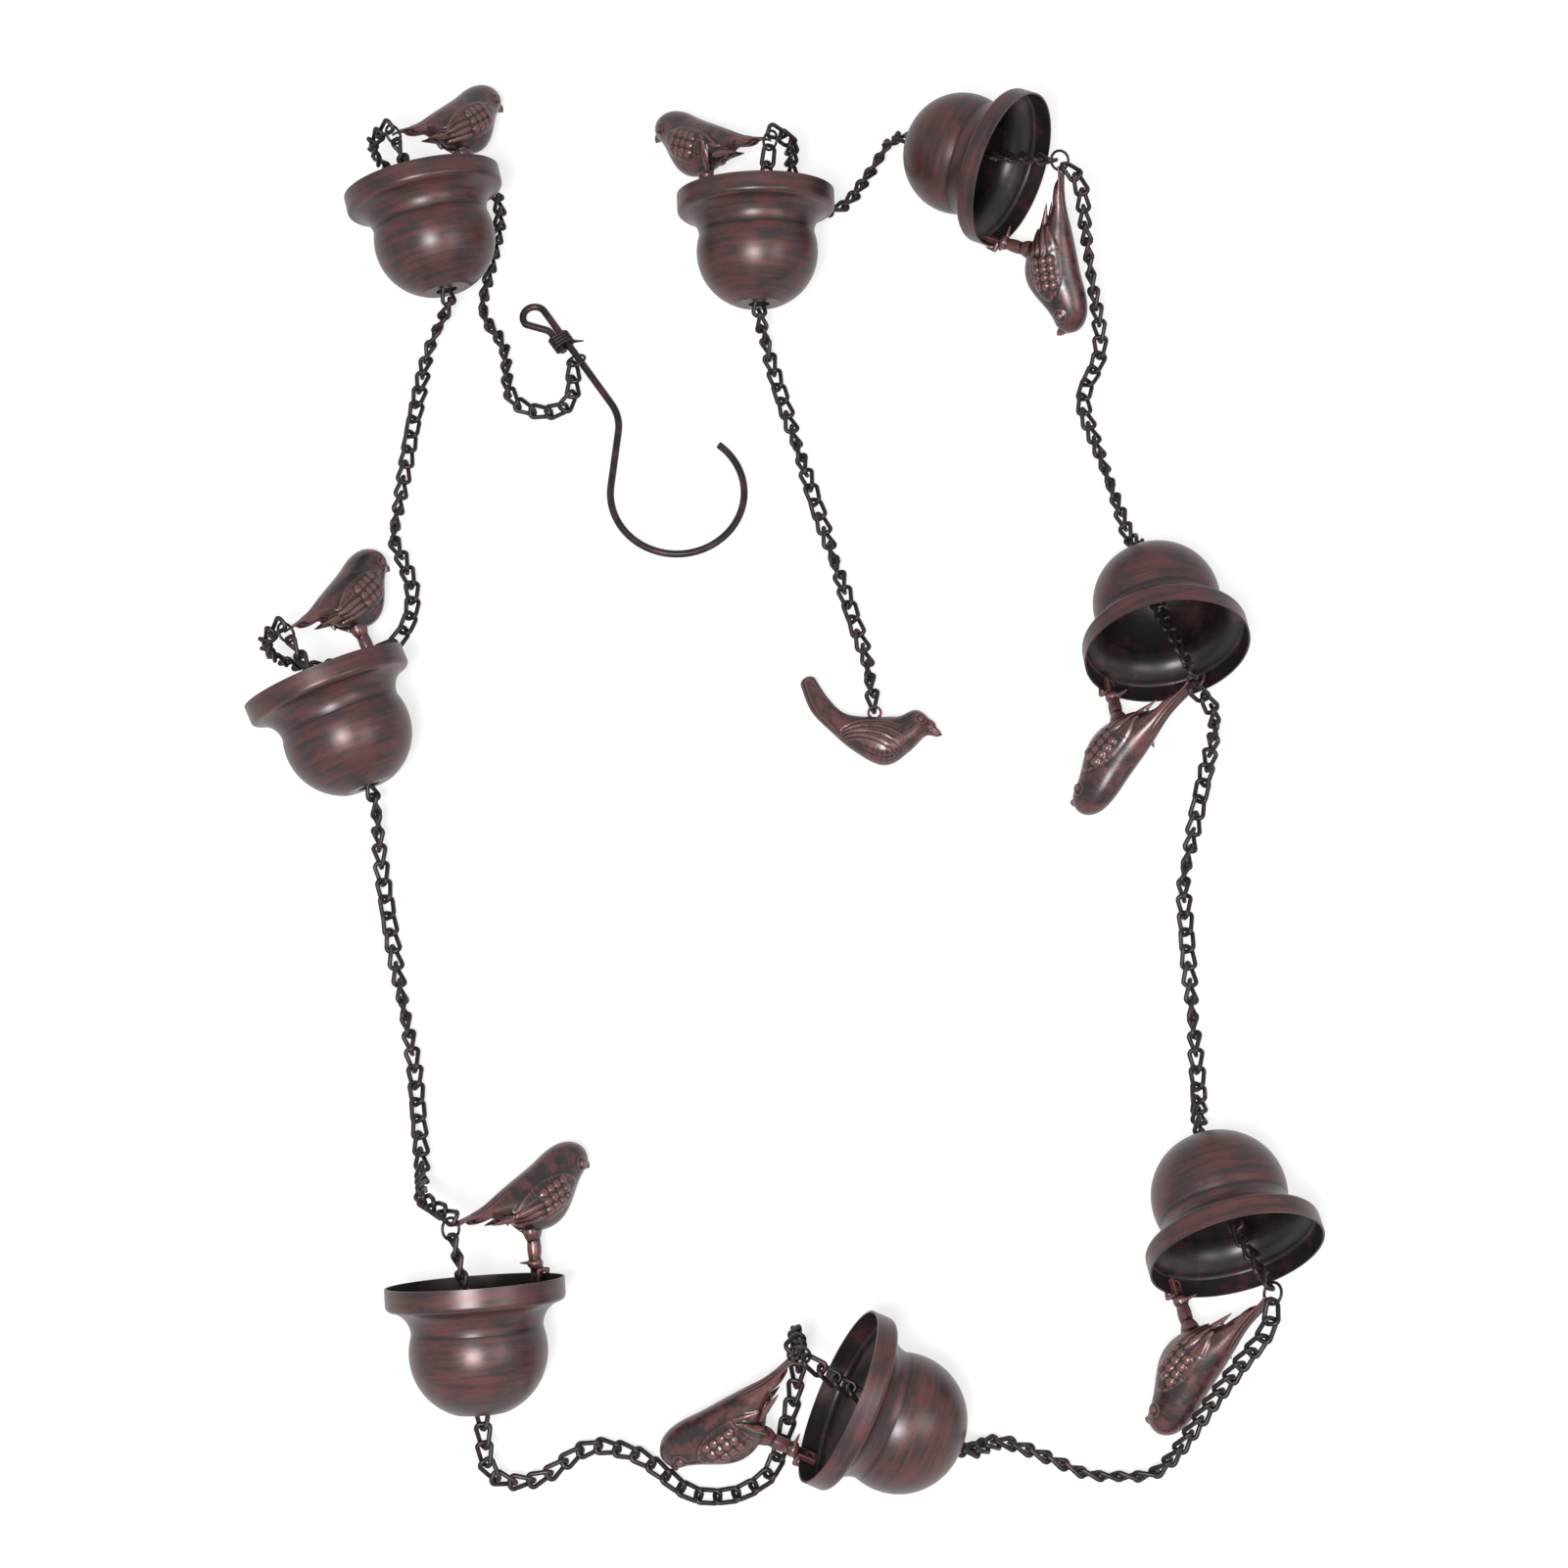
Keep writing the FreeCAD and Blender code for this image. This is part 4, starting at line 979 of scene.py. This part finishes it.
def floor_finish():
    material = bpy.data.materials.new("white_floor")
    material.use_nodes = True
    tree = material.node_tree
    tree.nodes.clear()
    lit = add_node(tree, "ShaderNodeBsdfDiffuse", {"Color": FLOOR_GREY})
    glow = add_node(tree, "ShaderNodeEmission", {"Strength": 1.0})
    glowing = maths(tree, "MULTIPLY", seen_directly(tree), GLOW_SHARE)
    shares = {"Fac": glowing, 1: lit.outputs["BSDF"], 2: glow.outputs["Emission"]}
    share = add_node(tree, "ShaderNodeMixShader", shares)
    add_node(tree, "ShaderNodeOutputMaterial", {"Surface": share.outputs["Shader"]})
    return material


floor_mesh = bpy.data.meshes.new("studio_floor")
corners = [(x * FLOOR_HALF, y * FLOOR_HALF, 0) for x, y in ((-1, -1), (1, -1), (1, 1), (-1, 1))]
floor_mesh.from_pydata(corners, [], [(0, 1, 2, 3)])
floor_mesh.materials.append(floor_finish())
floor = put_in_scene("studio_floor", floor_mesh)
floor.location.z = -COAT["Coat"]
print("floor laid, half a side is", FLOOR_HALF, "m")

# %% Studio light
WORLD_LIGHT = 0.3


def soft_light(name, place, width, watts):
    """A round lamp that looks at the middle of the layout."""
    lamp = bpy.data.lights.new(name, "AREA")
    lamp.shape = "DISK"
    lamp.size = width
    lamp.energy = watts
    thing = put_in_scene(name, lamp)
    thing.location = place
    thing.rotation_euler = (-Vector(place)).to_track_quat("-Z", "Y").to_euler()


soft_light("key", (-0.25, -0.95, 1.95), width=0.6, watts=70.0)
soft_light("fill", (1.2, -0.6, 1.5), width=0.9, watts=14.0)
world = bpy.data.worlds.new("studio")
world.use_nodes = True
scene.world = world
sky = world.node_tree
back_light = sky.nodes["Background"]
back_light.inputs["Color"].default_value = (1.0, 1.0, 1.0, 1.0)
strength = rise(sky, WORLD_LIGHT, seen_directly(sky), 1.0 - WORLD_LIGHT)
feed(sky, strength, back_light.inputs["Strength"])
print("lamps set, world light", WORLD_LIGHT)

# %% Camera
PHOTO_WIDTH = 1601
FOCAL_PIXELS = 3000.0
AIM = LAYOUT_SHIFT * MM
DISTANCE = 1570.0 * MM
ELEVATION = math.radians(70.0)
lens = bpy.data.cameras.new("camera")
lens.sensor_fit = "HORIZONTAL"
lens.angle = 2 * math.atan(PHOTO_WIDTH / 2 / FOCAL_PIXELS)
camera = put_in_scene("camera", lens)
camera.location = AIM + Vector((0, -math.cos(ELEVATION), math.sin(ELEVATION))) * DISTANCE
camera.rotation_euler = (math.pi / 2 - ELEVATION, 0, 0)
scene.camera = camera
print("camera sees", round(math.degrees(lens.angle), 2), "degrees")
